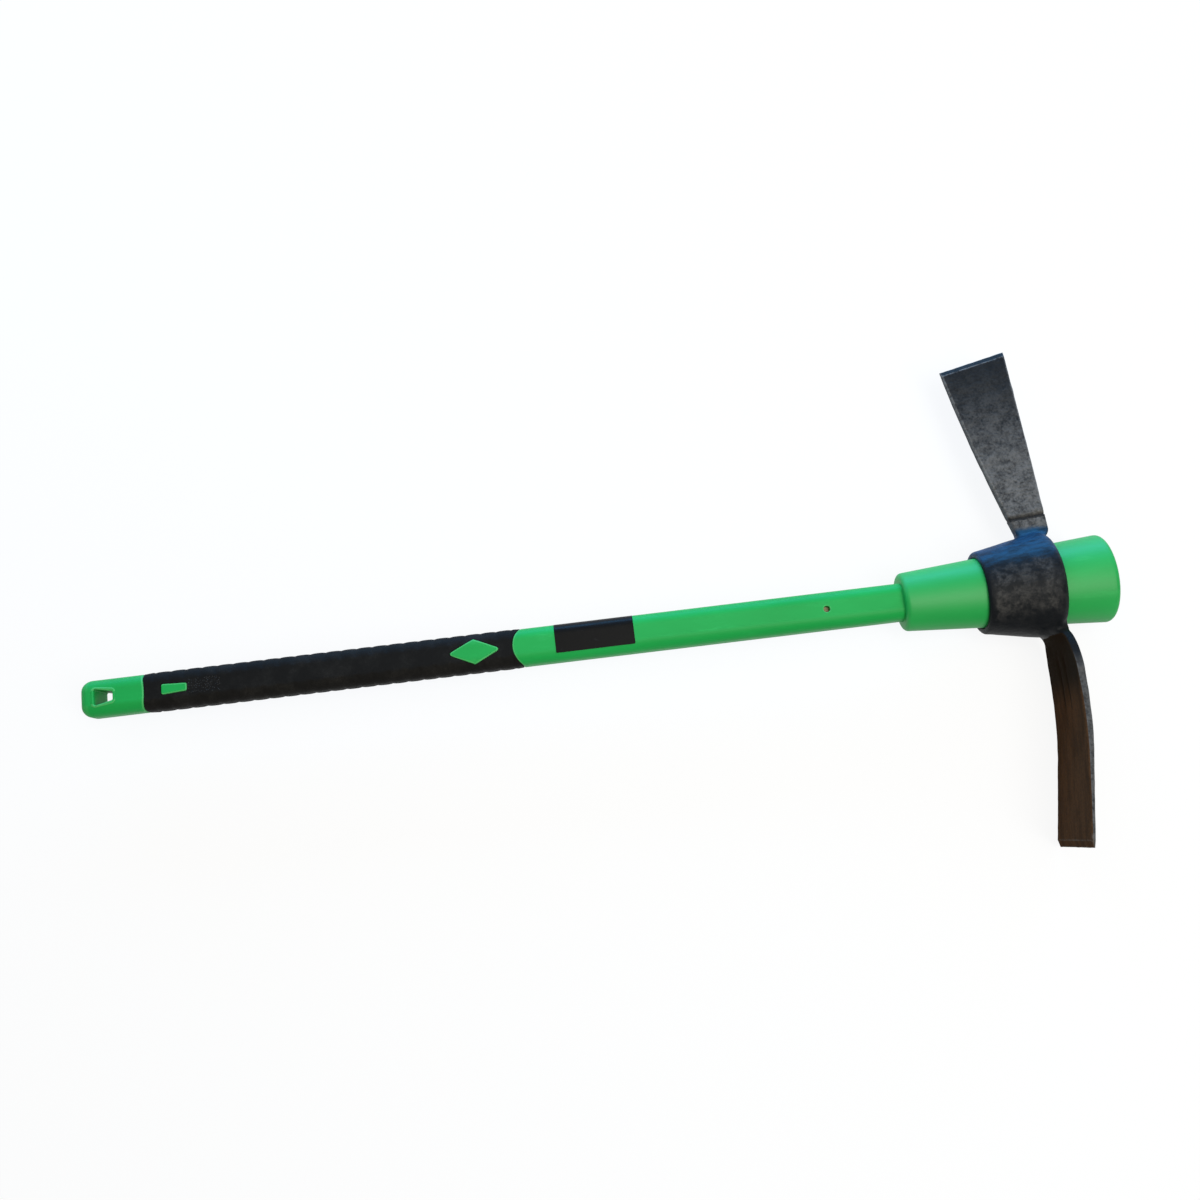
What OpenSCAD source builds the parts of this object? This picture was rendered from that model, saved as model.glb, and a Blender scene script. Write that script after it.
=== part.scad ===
// Cutter mattock with a slip-fit tapered eye and an over-moulded handle.
// The tool lies on its side: +X runs along the handle to the eye end, +Y points to the cutter, +Z is up.
// The origin is the centre of the flat end face of the eye sleeve, so the whole handle lies at negative X.

/* [Handle] */
// Overall length, from the butt to the eye end
handle_len = 900; // [760:5:1000]
// Height of the shaft section, in the plane of the blades
shaft_h = 32.6; // [31:0.2:38]
// Width of the shaft section, across the plane of the blades
shaft_w = 28; // [26:0.2:32]
// Corner radius of the shaft section
shaft_corner = 10; // [7:0.25:12]
// Height of the fibreglass bar
core_h = 21; // [16:0.5:23]
// Width of the fibreglass bar
core_w = 16; // [12:0.5:17.5]
// Corner radius of the fibreglass bar
core_corner = 6; // [3:0.25:6]
// Length of moulding past the end of the bar at the butt
core_cover = 42; // [40:1:52]
// Gap left for the bond between moulded layers
bond_gap = 0.1; // [0.05:0.05:0.2]

/* [Support holes] */
// Diameter of the holes that the mould's support pins leave over the bar
support_d = 5.6; // [4:0.2:8]
// Distance of the support holes from the eye end
support_from_eye = 247; // [225:1:320]

/* [Butt] */
// Length of bare moulding between the butt end and the grip
butt_len = 57; // [50:1:70]
// Rounding of the butt's corners, seen from above
butt_round = 10; // [4:0.5:12]
// Rounding of the butt's corners, seen from the side
butt_side_round = 8; // [4:0.5:9]
// Length of the hang hole along the handle
hang_len = 16.2; // [11:0.2:18]
// Height of the hang hole on its butt side
hang_wide = 14.5; // [10:0.25:18]
// Height of the hang hole on its head side
hang_narrow = 7.4; // [5:0.2:13]
// Distance of the hang hole's middle from the butt end
hang_from_end = 21.8; // [20:0.2:27]
// Corner radius of the hang hole
hang_corner = 1.5; // [1:0.2:3.6]

/* [Grip] */
// Length of the grip along the shaft's narrow sides
grip_len = 330; // [260:0.5:380]
// Thickness of the grip
grip_wall = 2.6; // [1.6:0.2:3.4]
// Depth of the curved front edge of the grip
grip_scallop = 8; // [5:0.5:11]
// Bow of the grip's rear edge round the butt
grip_bow = 2; // [1:0.25:6]
// Number of swells in each row along the grip's edges
swell_count = 23; // [8:1:26]
// Height of one swell above the grip
swell_rise = 0.6; // [0.4:0.1:1.4]
// Length of the diamond window
diamond_len = 47.4; // [30:0.5:52]
// Height of the diamond window
diamond_h = 22.4; // [16:0.2:24]
// Corner rounding of the diamond window
diamond_corner = 2; // [1:0.25:3]
// Distance of the diamond's middle from the grip's front edge
diamond_from_front = 41.5; // [38:0.5:60]
// Length of the tapered window
tab_len = 22.4; // [16:0.2:30]
// Height of the tapered window on its butt side
tab_wide = 9.5; // [8:0.25:13]
// Height of the tapered window on its head side
tab_narrow = 7; // [5:0.25:8]
// Corner radius of the tapered window
tab_corner = 1.8; // [0.5:0.1:2.2]
// Distance of the tapered window's middle from the grip's rear edge
tab_from_rear = 26.5; // [24:0.5:45]

/* [Eye sleeve] */
// Length of the tapered eye sleeve
sleeve_len = 180; // [165:1:210]
// Height of the sleeve at the eye end
eye_end_h = 78; // [72:0.2:80]
// Width of the sleeve at the eye end
eye_end_w = 68.6; // [64:0.2:72]
// Height of the sleeve where it meets the shaft
sleeve_small_h = 51; // [46:0.2:56]
// Rounding of the sleeve's end face
sleeve_end_round = 4.5; // [2:0.25:6]
// Rounding of the sleeve's shoulder on the shaft
sleeve_shoulder_round = 4; // [2:0.25:5]
// Length of solid moulding between the shaft's end and the end face
sleeve_cap = 14; // [8:1:24]

/* [Head collar] */
// Distance of the collar from the eye end
collar_from_end = 46; // [40:0.5:54]
// Length of the collar
collar_len = 65.5; // [58:0.5:76]
// Height of the collar on its butt side
collar_small_h = 72.6; // [69:0.2:78]
// Height of the collar on its blade side
collar_big_h = 97; // [92:0.2:104]
// Rounding of the collar's butt side
collar_rim_round = 2.6; // [1:0.2:3.6]
// Rounding of the collar's blade side
collar_face_round = 6; // [2:0.25:8]
// Clearance between the eye and the sleeve
eye_gap = 0.3; // [0.2:0.05:0.5]

/* [Cutter] */
// Reach of the cutter from the handle's axis to its far corner
cutter_reach = 219; // [190:1:240]
// Length of the cutting edge
cutter_edge = 62; // [54:0.5:72]
// Slant of the cutting edge
cutter_slant = 12; // [6:0.5:16]
// Distance of the edge's far corner from the eye end
cutter_corner_from_end = 48; // [46:0.5:60]
// Width of the cutter at its neck
cutter_neck = 27; // [24:0.5:34]
// Distance of the neck's blade side from the eye end
cutter_neck_from_end = 40.5; // [40:0.5:48]
// Thickness of the cutter at its neck
cutter_thick = 9.5; // [8:0.5:14]
// Thickness of the cutter where the bevel starts
cutter_bevel_thick = 4; // [3:0.25:6]
// Length of the ground bevel
cutter_bevel = 9; // [5:0.5:14]
// Bow of the cutter's butt-side outline
cutter_bow = 2.5; // [0:0.5:8]
// Bow of the cutter's other outline
cutter_back_bow = 0.6; // [0:0.2:3]
// Length of the raised band at the neck
neck_band = 19; // [10:0.5:26]
// Height of the raised band above the blade's face
neck_band_rise = 0.8; // [0.2:0.1:1.5]
// Length over which the raised band falls to the blade's face
neck_band_step = 1; // [0.5:0.1:3]

/* [Adze] */
// Reach of the adze from the handle's axis to its edge
adze_reach = 224.5; // [195:0.5:245]
// Width of the adze at its edge
adze_edge = 78; // [66:0.5:90]
// Width of the adze at its neck
adze_neck = 36; // [32:0.5:44]
// Width of the adze at its shoulder, where the quick flare of the neck ends
adze_shoulder = 63.5; // [56:0.5:70]
// Distance of the shoulder from the collar
adze_shoulder_drop = 34; // [24:1:44]
// Amount by which the neck sits back from the shoulder
adze_set = 3.5; // [0:0.5:6]
// Thickness of the adze at its neck
adze_thick = 8.8; // [7:0.2:12]
// Thickness of the adze where its bevel starts
adze_tip_thick = 3; // [2:0.1:4]
// Length of the bevel ground on the adze's inner face
adze_bevel = 6; // [3:0.5:10]
// Amount by which the bevel takes off each corner of the adze's edge
adze_corner = 2; // [0.5:0.5:4]
// Distance of the neck's middle from the eye end
adze_from_end = 47.1; // [46:0.1:56]
// Lean of the adze towards the butt before its curve
adze_root_lean = 2; // [0:0.5:5]
// Lean of the adze towards the butt after its curve
adze_tip_lean = 11; // [6:0.5:16]
// Distance from the handle's axis at which the curve begins
adze_bend_start = 90; // [70:1:110]
// Distance from the handle's axis at which the curve ends
adze_bend_end = 155; // [130:1:180]
// Fillet under the collar on the adze's butt side
adze_fillet = 9; // [6:0.5:14]

/* [Blade roots] */
// Fillet at the cutter's root
cutter_fillet = 7; // [3:0.5:10]
// Fillet round the adze's other sides
adze_side_fillet = 5; // [2:0.5:8]
// Rounding of the blades' long edges
blade_round = 1.6; // [0.6:0.1:2.2]
// Thickness of both sharp edges
edge_land = 0.8; // [0.4:0.1:1.2]

/* [Hidden] */
$fn = 72;
// Steps in one rounded corner of an outline
corner_steps = 6;
// Steps in one rounded corner of a blade section
blade_corner_steps = 3;
// Steps round the eye's oval
oval_steps = 72;
// Steps along one swell
swell_steps = 6;
// Sections along each blade
blade_sections = 22;
// Sections through a blade's root fillet
fillet_sections = 6;
// Sections along the cutter's raised band
band_sections = 3;
// Share of a root fillet's spread that shows on a blade's narrow sides
narrow_share = 0.5;
// Largest share of a blade section's width or thickness that one corner's rounding takes
round_limit = 0.45;
// Amount by which a cut runs past the face that it cuts
over = 1;
green = [0.11, 0.62, 0.29];
black = [0.09, 0.09, 0.10];
steel = [0.20, 0.20, 0.21];
resin = [0.77, 0.66, 0.36];

butt_x = -handle_len;
grip_rear_x = butt_x + butt_len;
grip_front_x = grip_rear_x + grip_len;
jacket_end_x = -sleeve_cap;
core_butt_x = butt_x + core_cover;
inner_h = shaft_h - 2 * grip_wall;
inner_w = shaft_w - 2 * grip_wall;
inner_corner = shaft_corner - grip_wall;
diamond_x = grip_front_x - diamond_from_front;
tab_x = grip_rear_x + tab_from_rear;
hang_x = butt_x + hang_from_end;
tongue_r = (pow(shaft_h / 2, 2) + pow(grip_scallop, 2)) / (2 * grip_scallop);
tongue_x = grip_front_x - grip_scallop + tongue_r;
grip_tail_x = grip_rear_x - grip_bow;
bow_r = (pow(shaft_h / 2, 2) + pow(grip_bow, 2)) / (2 * grip_bow);
bow_x = grip_rear_x - bow_r;
swell_pitch = (grip_len - 2 * grip_scallop) / swell_count;

eye_ratio = eye_end_w / eye_end_h;
taper = (eye_end_h - sleeve_small_h) / 2 / sleeve_len;
collar_face_x = -collar_from_end;
collar_rim_x = collar_face_x - collar_len;
collar_slope = (collar_big_h - collar_small_h) / 2 / collar_len;

// Half height of the sleeve's taper at a place along the handle
function sleeve_r(x) = eye_end_h / 2 + taper * x;
// Half height of the eye at a place along the handle
function eye_r(x) = sleeve_r(x) + eye_gap / eye_ratio;
// Half height of the collar at a place along the handle
function collar_r(x) = collar_big_h / 2 + collar_slope * (x - collar_face_x);
// Fall of the collar's round surface at a distance from the middle plane
function collar_fall(x, z) = collar_r(x) * (1 - sqrt(1 - pow(z / (collar_r(x) * eye_ratio), 2)));
// Height of the eye's wall over the handle's axis at a distance from the middle plane
function eye_wall(x, z) = eye_r(x) * sqrt(1 - pow(z / (eye_r(x) * eye_ratio), 2));

function mix(a, b, t) = a + (b - a) * t;
function reversed(list) = [for (i = [len(list) - 1 : -1 : 0]) list[i]];
function bezier(a, b, c, t) = mix(mix(a, b, t), mix(b, c, t), t);
function arc(centre, r, from, to, steps) =
    [for (i = [0 : steps]) centre + r * [cos(mix(from, to, i / steps)), sin(mix(from, to, i / steps))]];
// Rounded rectangle about the origin
function oblong(a, b, r, steps) = concat(
    arc([a / 2 - r, b / 2 - r], r, 0, 90, steps),
    arc([r - a / 2, b / 2 - r], r, 90, 180, steps),
    arc([r - a / 2, r - b / 2], r, 180, 270, steps),
    arc([a / 2 - r, r - b / 2], r, 270, 360, steps));
// Spread of a round fillet at a height above its foot
function flare(r, height) = height >= r ? 0 : r - sqrt(r * r - pow(r - max(height, 0), 2));

// Bar along X with the rounded section that the handle's layers share
module bar(from, to, h, w, r) {
    translate([from, 0, 0])
        rotate([90, 0, 90])
            linear_extrude(to - from)
                polygon(oblong(h, w, r, corner_steps));
}

// Prism through the handle along Z
module through(x) {
    translate([x, 0, -shaft_w])
        linear_extrude(2 * shaft_w)
            children();
}

// Wedge-shaped window with round corners, wider towards the butt
module wedge_outline(len, wide, narrow, r, grow) {
    half = len / 2 + grow;
    tilt = atan2(wide - narrow, 2 * len);
    rear = wide / 2 + grow + r * (-tan(tilt) - 1 / cos(tilt));
    front = narrow / 2 + grow + r * (tan(tilt) - 1 / cos(tilt));
    polygon(concat(
        arc([r - half, rear], r, 180, 90 - tilt, corner_steps),
        arc([half - r, front], r, 90 - tilt, 0, corner_steps),
        arc([half - r, -front], r, 0, tilt - 90, corner_steps),
        arc([r - half, -rear], r, tilt - 90, -180, corner_steps)));
}

// Diamond window with round corners
module diamond_outline(grow) {
    side = atan2(diamond_h, diamond_len);
    r = diamond_corner;
    a = diamond_len / 2 + grow / sin(side) - r / sin(side);
    b = diamond_h / 2 + grow / cos(side) - r / cos(side);
    polygon(concat(
        arc([a, 0], r, side - 90, 90 - side, corner_steps),
        arc([0, b], r, 90 - side, 90 + side, corner_steps),
        arc([-a, 0], r, 90 + side, 270 - side, corner_steps),
        arc([0, -b], r, 270 - side, 270 + side, corner_steps)));
}

// Outline of a taper with both rims rounded, as pairs of radius and place along the handle
function taper_profile(x0, r0, x1, r1, round0, round1) =
    let (lean = atan2(r1 - r0, x1 - x0))
    concat(
        arc([r0 + round0 * (tan(lean) - 1 / cos(lean)), x0 + round0], round0, -90, -lean, corner_steps),
        arc([r1 - round1 * (tan(lean) + 1 / cos(lean)), x1 - round1], round1, -lean, 90, corner_steps));

// Closed solid through a list of rings with equal counts of points
module loft(rings) {
    n = len(rings[0]);
    last = (len(rings) - 1) * n;
    sides = [for (i = [0 : len(rings) - 2], j = [0 : n - 1], k = [0, 1])
        let (a = i * n + j, b = i * n + (j + 1) % n)
        k == 0 ? [a, b, a + n] : [b, b + n, a + n]];
    polyhedron(
        points = [for (ring = rings) for (p = ring) p],
        faces = concat([[for (j = [n - 1 : -1 : 0]) j]], sides, [[for (j = [0 : n - 1]) last + j]]),
        convexity = 4);
}

// Oval taper about the handle's axis: every ring has the eye's proportions and the same facets
module oval_taper(profile) {
    loft([for (p = profile)
        [for (k = [0 : oval_steps - 1])
            [p[1], p[0] * cos(360 * k / oval_steps), -p[0] * eye_ratio * sin(360 * k / oval_steps)]]]);
}

// Ring of a blade between two points of its outline, with a given thickness along Z
function blade_ring(from, to, depth, r) =
    let (span = norm(to - from),
         along = (to - from) / span,
         middle = (from + to) / 2,
         round = min(r, round_limit * depth, round_limit * span))
    [for (p = oblong(span, depth, round, blade_corner_steps))
        [middle[0] + along[0] * p[0], middle[1] + along[1] * p[0], p[1]]];

// Share of a blade's root form that is still left at a height above the collar
function root_share(height, len) = pow(1 - min(height / len, 1), 2);

// Ring of a blade bent to the collar's round surface, on the side that dir points to
function seated(ring, dir, share) = [for (p = ring) p - [0, dir * share * collar_fall(p[0], p[2]), 0]];

neck_x = -cutter_neck_from_end;
cutter_foot = collar_r(neck_x - cutter_neck / 2) - cutter_fillet / 2;
cutter_root = eye_wall(collar_face_x, cutter_thick / 2);
cutter_len = cutter_reach - cutter_foot;
tip_far = [-cutter_corner_from_end, cutter_reach];
tip_near = tip_far - cutter_edge * [cos(cutter_slant), sin(cutter_slant)];
neck_far = [neck_x, cutter_foot];
neck_near = [neck_x - cutter_neck, cutter_foot];
bow_near = (neck_near + tip_near) / 2 - [2 * cutter_bow, 0];
bow_far = (neck_far + tip_far) / 2 + [2 * cutter_back_bow, 0];
bevel_share = 1 - cutter_bevel / cutter_len;
band_share = neck_band / cutter_len;
fillet_share = cutter_fillet / cutter_len;

// Thickness of the cutter at a share of its length, with the raised neck band and the ground bevel
function cutter_depth(t) =
    t > bevel_share
        ? mix(cutter_bevel_thick, edge_land, (t - bevel_share) / (1 - bevel_share))
        : mix(cutter_thick, cutter_bevel_thick, t / bevel_share) + (t <= band_share ? 2 * neck_band_rise : 0);

function cutter_ring(t) =
    let (spread = flare(cutter_fillet, t * cutter_len))
    seated(blade_ring(
        bezier(neck_near, bow_near, tip_near, t) - spread * [narrow_share, collar_slope],
        bezier(neck_far, bow_far, tip_far, t) - spread * [narrow_share, 0],
        cutter_depth(t) + 2 * spread,
        blade_round + spread), 1, root_share(t * cutter_len, neck_band));

cutter_shares = concat(
    [for (i = [0 : fillet_sections - 1]) pow(i / fillet_sections, 2) * fillet_share],
    [for (i = [0 : band_sections]) mix(fillet_share, band_share, i / band_sections)],
    [for (i = [0 : blade_sections])
        mix(band_share + neck_band_step / cutter_len, bevel_share, i / blade_sections)],
    [(bevel_share + 1) / 2, 1]);

// Axe blade in the handle's plane, its root leaning back under the rounded face of the collar
module cutter() {
    root = [for (p = cutter_ring(0)) [p[0] - collar_face_round, cutter_root, p[2]]];
    loft(concat([root], [for (t = cutter_shares) cutter_ring(t)]));
}

adze_foot = collar_r(-adze_from_end) - adze_side_fillet / 2;
adze_root = eye_wall(collar_face_x, adze_neck / 2);
adze_len = adze_reach - adze_foot;
sweep_share = adze_fillet / adze_len;
ground_share = 1 - adze_bevel / adze_len;
adze_bend_len = adze_bend_end - adze_bend_start;
adze_turn = (tan(adze_tip_lean) - tan(adze_root_lean)) / adze_bend_len;

// Place of the adze's middle along the handle at a reach from the axis
function adze_x(reach) =
    let (height = reach - adze_foot,
         bent = min(max(reach - adze_bend_start, 0), adze_bend_len),
         beyond = max(reach - adze_bend_end, 0))
    -adze_from_end - adze_set * root_share(height, adze_shoulder_drop)
    - tan(adze_root_lean) * height - adze_turn * bent * (bent / 2 + beyond);

function adze_ring(t) =
    let (reach = mix(adze_foot, adze_reach, t),
         height = reach - adze_foot,
         half = mix(adze_thick, adze_tip_thick, t) / 2,
         spread = flare(adze_side_fillet, height),
         sweep = flare(adze_fillet, height),
         flank = max(height - adze_shoulder_drop, 0) / (adze_len - adze_shoulder_drop),
         neck = root_share(height, adze_shoulder_drop),
         ground = max(t - ground_share, 0) / (1 - ground_share),
         inner = adze_x(reach) - half + (adze_tip_thick - edge_land) * ground,
         width = mix(adze_shoulder, adze_edge, flank) - (adze_shoulder - adze_neck) * neck)
    seated(blade_ring(
        [adze_x(reach) + half + spread * narrow_share, -reach],
        [inner - sweep, -reach + sweep * collar_slope],
        width + 2 * spread * narrow_share - 2 * adze_corner * ground,
        blade_round + spread * narrow_share), -1, neck);

adze_shares = concat(
    [for (i = [0 : fillet_sections - 1]) pow(i / fillet_sections, 2) * sweep_share],
    [for (i = [0 : blade_sections]) mix(sweep_share, ground_share, i / blade_sections)],
    [1]);

// Hoe blade across the handle's plane, curved back towards the butt
module adze() {
    root = [for (p = adze_ring(0)) [p[0] - collar_face_round, -adze_root, p[2]]];
    loft(concat([root], [for (t = adze_shares) adze_ring(t)]));
}

// Forged head: oval collar, cutter and adze in one piece, with the tapered eye through it
module mattock_head() {
    color(steel)
        difference() {
            union() {
                oval_taper(taper_profile(
                    collar_rim_x, collar_small_h / 2, collar_face_x, collar_big_h / 2,
                    collar_rim_round, collar_face_round));
                cutter();
                adze();
            }
            oval_taper([for (x = [collar_rim_x - over, 0]) [eye_r(x), x]]);
        }
}

// Tapered moulding that wedges in the eye, closed over the shaft's end
module eye_sleeve() {
    color(green)
        difference() {
            oval_taper(taper_profile(
                -sleeve_len, sleeve_small_h / 2, 0, eye_end_h / 2,
                sleeve_shoulder_round, sleeve_end_round));
            bar(-sleeve_len - over, jacket_end_x + bond_gap,
                shaft_h + 2 * bond_gap, shaft_w + 2 * bond_gap, shaft_corner + bond_gap);
            bar(jacket_end_x - over, over,
                core_h + 2 * bond_gap, core_w + 2 * bond_gap, core_corner + bond_gap);
        }
}

// Raised islands of the jacket that fill the grip's windows
module window_islands() {
    intersection() {
        bar(grip_rear_x, grip_front_x, shaft_h, shaft_w, shaft_corner);
        union() {
            through(diamond_x) diamond_outline(0);
            through(tab_x) wedge_outline(tab_len, tab_wide, tab_narrow, tab_corner, 0);
        }
    }
}

// Butt of the jacket with its corners rounded both ways
module butt_end() {
    intersection() {
        bar(butt_x, grip_tail_x, shaft_h, shaft_w, shaft_corner);
        through(butt_x)
            polygon(concat(
                arc([butt_round, butt_round - shaft_h / 2], butt_round, 270, 180, corner_steps),
                arc([butt_round, shaft_h / 2 - butt_round], butt_round, 180, 90, corner_steps),
                [[butt_len, shaft_h / 2], [butt_len, -shaft_h / 2]]));
        translate([butt_x, shaft_h, 0])
            rotate([90, 0, 0])
                linear_extrude(2 * shaft_h)
                    polygon(concat(
                        arc([butt_side_round, butt_side_round - shaft_w / 2],
                            butt_side_round, 270, 180, corner_steps),
                        arc([butt_side_round, shaft_w / 2 - butt_side_round],
                            butt_side_round, 180, 90, corner_steps),
                        [[butt_len, shaft_w / 2], [butt_len, -shaft_w / 2]]));
    }
}

// Moulded jacket over the fibreglass bar, necked down under the grip
module handle_jacket() {
    color(green)
        difference() {
            union() {
                butt_end();
                bar(grip_tail_x, grip_front_x, inner_h, inner_w, inner_corner);
                bar(grip_front_x, jacket_end_x, shaft_h, shaft_w, shaft_corner);
                intersection() {
                    bar(grip_front_x - grip_scallop - over, grip_front_x + over,
                        shaft_h, shaft_w, shaft_corner);
                    through(tongue_x) circle(r = tongue_r);
                }
                intersection() {
                    bar(grip_tail_x - over, grip_rear_x + over, shaft_h, shaft_w, shaft_corner);
                    through(bow_x) circle(r = bow_r);
                }
                window_islands();
            }
            bar(core_butt_x - bond_gap, jacket_end_x + over,
                core_h + 2 * bond_gap, core_w + 2 * bond_gap, core_corner + bond_gap);
            through(hang_x) wedge_outline(hang_len, hang_wide, hang_narrow, hang_corner, 0);
            through(-support_from_eye) circle(d = support_d);
        }
}

// Pultruded bar that carries the load, bare only under the support holes and at its end, cut flush
module fibreglass_core() {
    color(resin)
        bar(core_butt_x, 0, core_h, core_w, core_corner);
}

// Outline of the grip seen from above, with a row of swells along both edges
function swell_edge(side) = [for (i = [0 : swell_count * swell_steps])
    [grip_rear_x + grip_scallop + i / swell_steps * swell_pitch,
     side * (shaft_h / 2 + swell_rise * abs(sin(180 * i / swell_steps)))]];

// Soft over-moulded grip with its windows, its curved ends and its rows of swells
module rubber_grip() {
    color(black)
        difference() {
            intersection() {
                bar(grip_tail_x, grip_front_x, shaft_h + 2 * swell_rise, shaft_w, shaft_corner);
                through(0)
                    polygon(concat(
                        [[grip_tail_x, -shaft_h / 2], [grip_tail_x, shaft_h / 2]],
                        swell_edge(1),
                        [[grip_front_x, shaft_h / 2], [grip_front_x, -shaft_h / 2]],
                        reversed(swell_edge(-1))));
            }
            bar(grip_tail_x - over, grip_front_x + over,
                inner_h + 2 * bond_gap, inner_w + 2 * bond_gap, inner_corner + bond_gap);
            through(tongue_x) circle(r = tongue_r + bond_gap);
            through(bow_x) circle(r = bow_r + bond_gap);
            through(diamond_x) diamond_outline(bond_gap);
            through(tab_x) wedge_outline(tab_len, tab_wide, tab_narrow, tab_corner, bond_gap);
        }
}

mattock_head();
eye_sleeve();
handle_jacket();
fibreglass_core();
rubber_grip();
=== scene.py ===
"""Looks of a cutter mattock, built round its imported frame.

The frame's directions hold here too: +X runs along the handle to the eye end, +Y points to the cutter and
+Z is up. All sizes are in metres.
"""

import logging
import math
from dataclasses import dataclass
from enum import Enum
from typing import Callable, Sequence, Union

import bmesh
import bpy
import numpy as np
from mathutils import Matrix, Vector, noise
from mathutils.kdtree import KDTree


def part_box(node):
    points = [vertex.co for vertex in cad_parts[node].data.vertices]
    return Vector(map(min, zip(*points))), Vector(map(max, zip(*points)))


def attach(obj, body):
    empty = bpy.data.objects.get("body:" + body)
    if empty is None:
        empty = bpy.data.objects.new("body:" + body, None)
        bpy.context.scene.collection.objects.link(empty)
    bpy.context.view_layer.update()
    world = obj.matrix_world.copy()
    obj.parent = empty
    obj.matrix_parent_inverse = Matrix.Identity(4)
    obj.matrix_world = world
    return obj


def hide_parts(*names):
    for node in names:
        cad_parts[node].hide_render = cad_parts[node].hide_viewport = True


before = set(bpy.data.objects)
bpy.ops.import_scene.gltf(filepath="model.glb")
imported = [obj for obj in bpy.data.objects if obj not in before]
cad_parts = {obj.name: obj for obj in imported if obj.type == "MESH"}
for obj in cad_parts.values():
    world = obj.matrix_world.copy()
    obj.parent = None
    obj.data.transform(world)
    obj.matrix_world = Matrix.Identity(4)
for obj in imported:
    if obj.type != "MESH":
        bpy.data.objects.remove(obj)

LOG = logging.getLogger("mattock")
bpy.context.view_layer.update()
CORNER_STEPS = 8
SIDE_STEPS = 8

Colour = tuple[float, float, float]
Number = Union[float, np.ndarray]
Outline = Callable[[float], np.ndarray]
Profile = Sequence[tuple[float, float]]
Value = Union[float, int, Sequence[float], bpy.types.NodeSocket]


class Body(Enum):
    """Bodies of the frame that pieces ride on."""

    HANDLE = "handle"
    HEAD = "head"


class Node(Enum):
    """Solids of the frame."""

    HEAD = "mattock_head"
    SLEEVE = "eye_sleeve"
    JACKET = "handle_jacket"
    CORE = "fibreglass_core"
    GRIP = "rubber_grip"


class Slot(Enum):
    """Material slots of the record."""

    STEEL = "forged_steel"
    MOULDING = "green_moulding"
    RUBBER = "grip_rubber"
    FIBREGLASS = "fibreglass"


class Cut(Enum):
    """Ways in which one solid works on another."""

    UNION = "UNION"
    DIFFERENCE = "DIFFERENCE"


class Face(Enum):
    """The two broad faces of the handle, by the sign of Z."""

    UPPER = 1.0
    LOWER = -1.0


# Node trees


@dataclass(frozen=True)
class Ramp:
    """A smooth change of a value, from start at low to end at high."""

    low: float
    high: float
    start: float = 0.0
    end: float = 1.0


@dataclass(frozen=True)
class Texture:
    """A noise: its scale per metre, layers of detail, their roughness and the stretch of each axis."""

    per_m: float
    detail: float = 3.0
    roughness: float = 0.5
    stretch: tuple[float, float, float] | None = None


@dataclass(frozen=True)
class Relief:
    """A bump: its depth in metres and its strength."""

    depth: float
    strength: float


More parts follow.
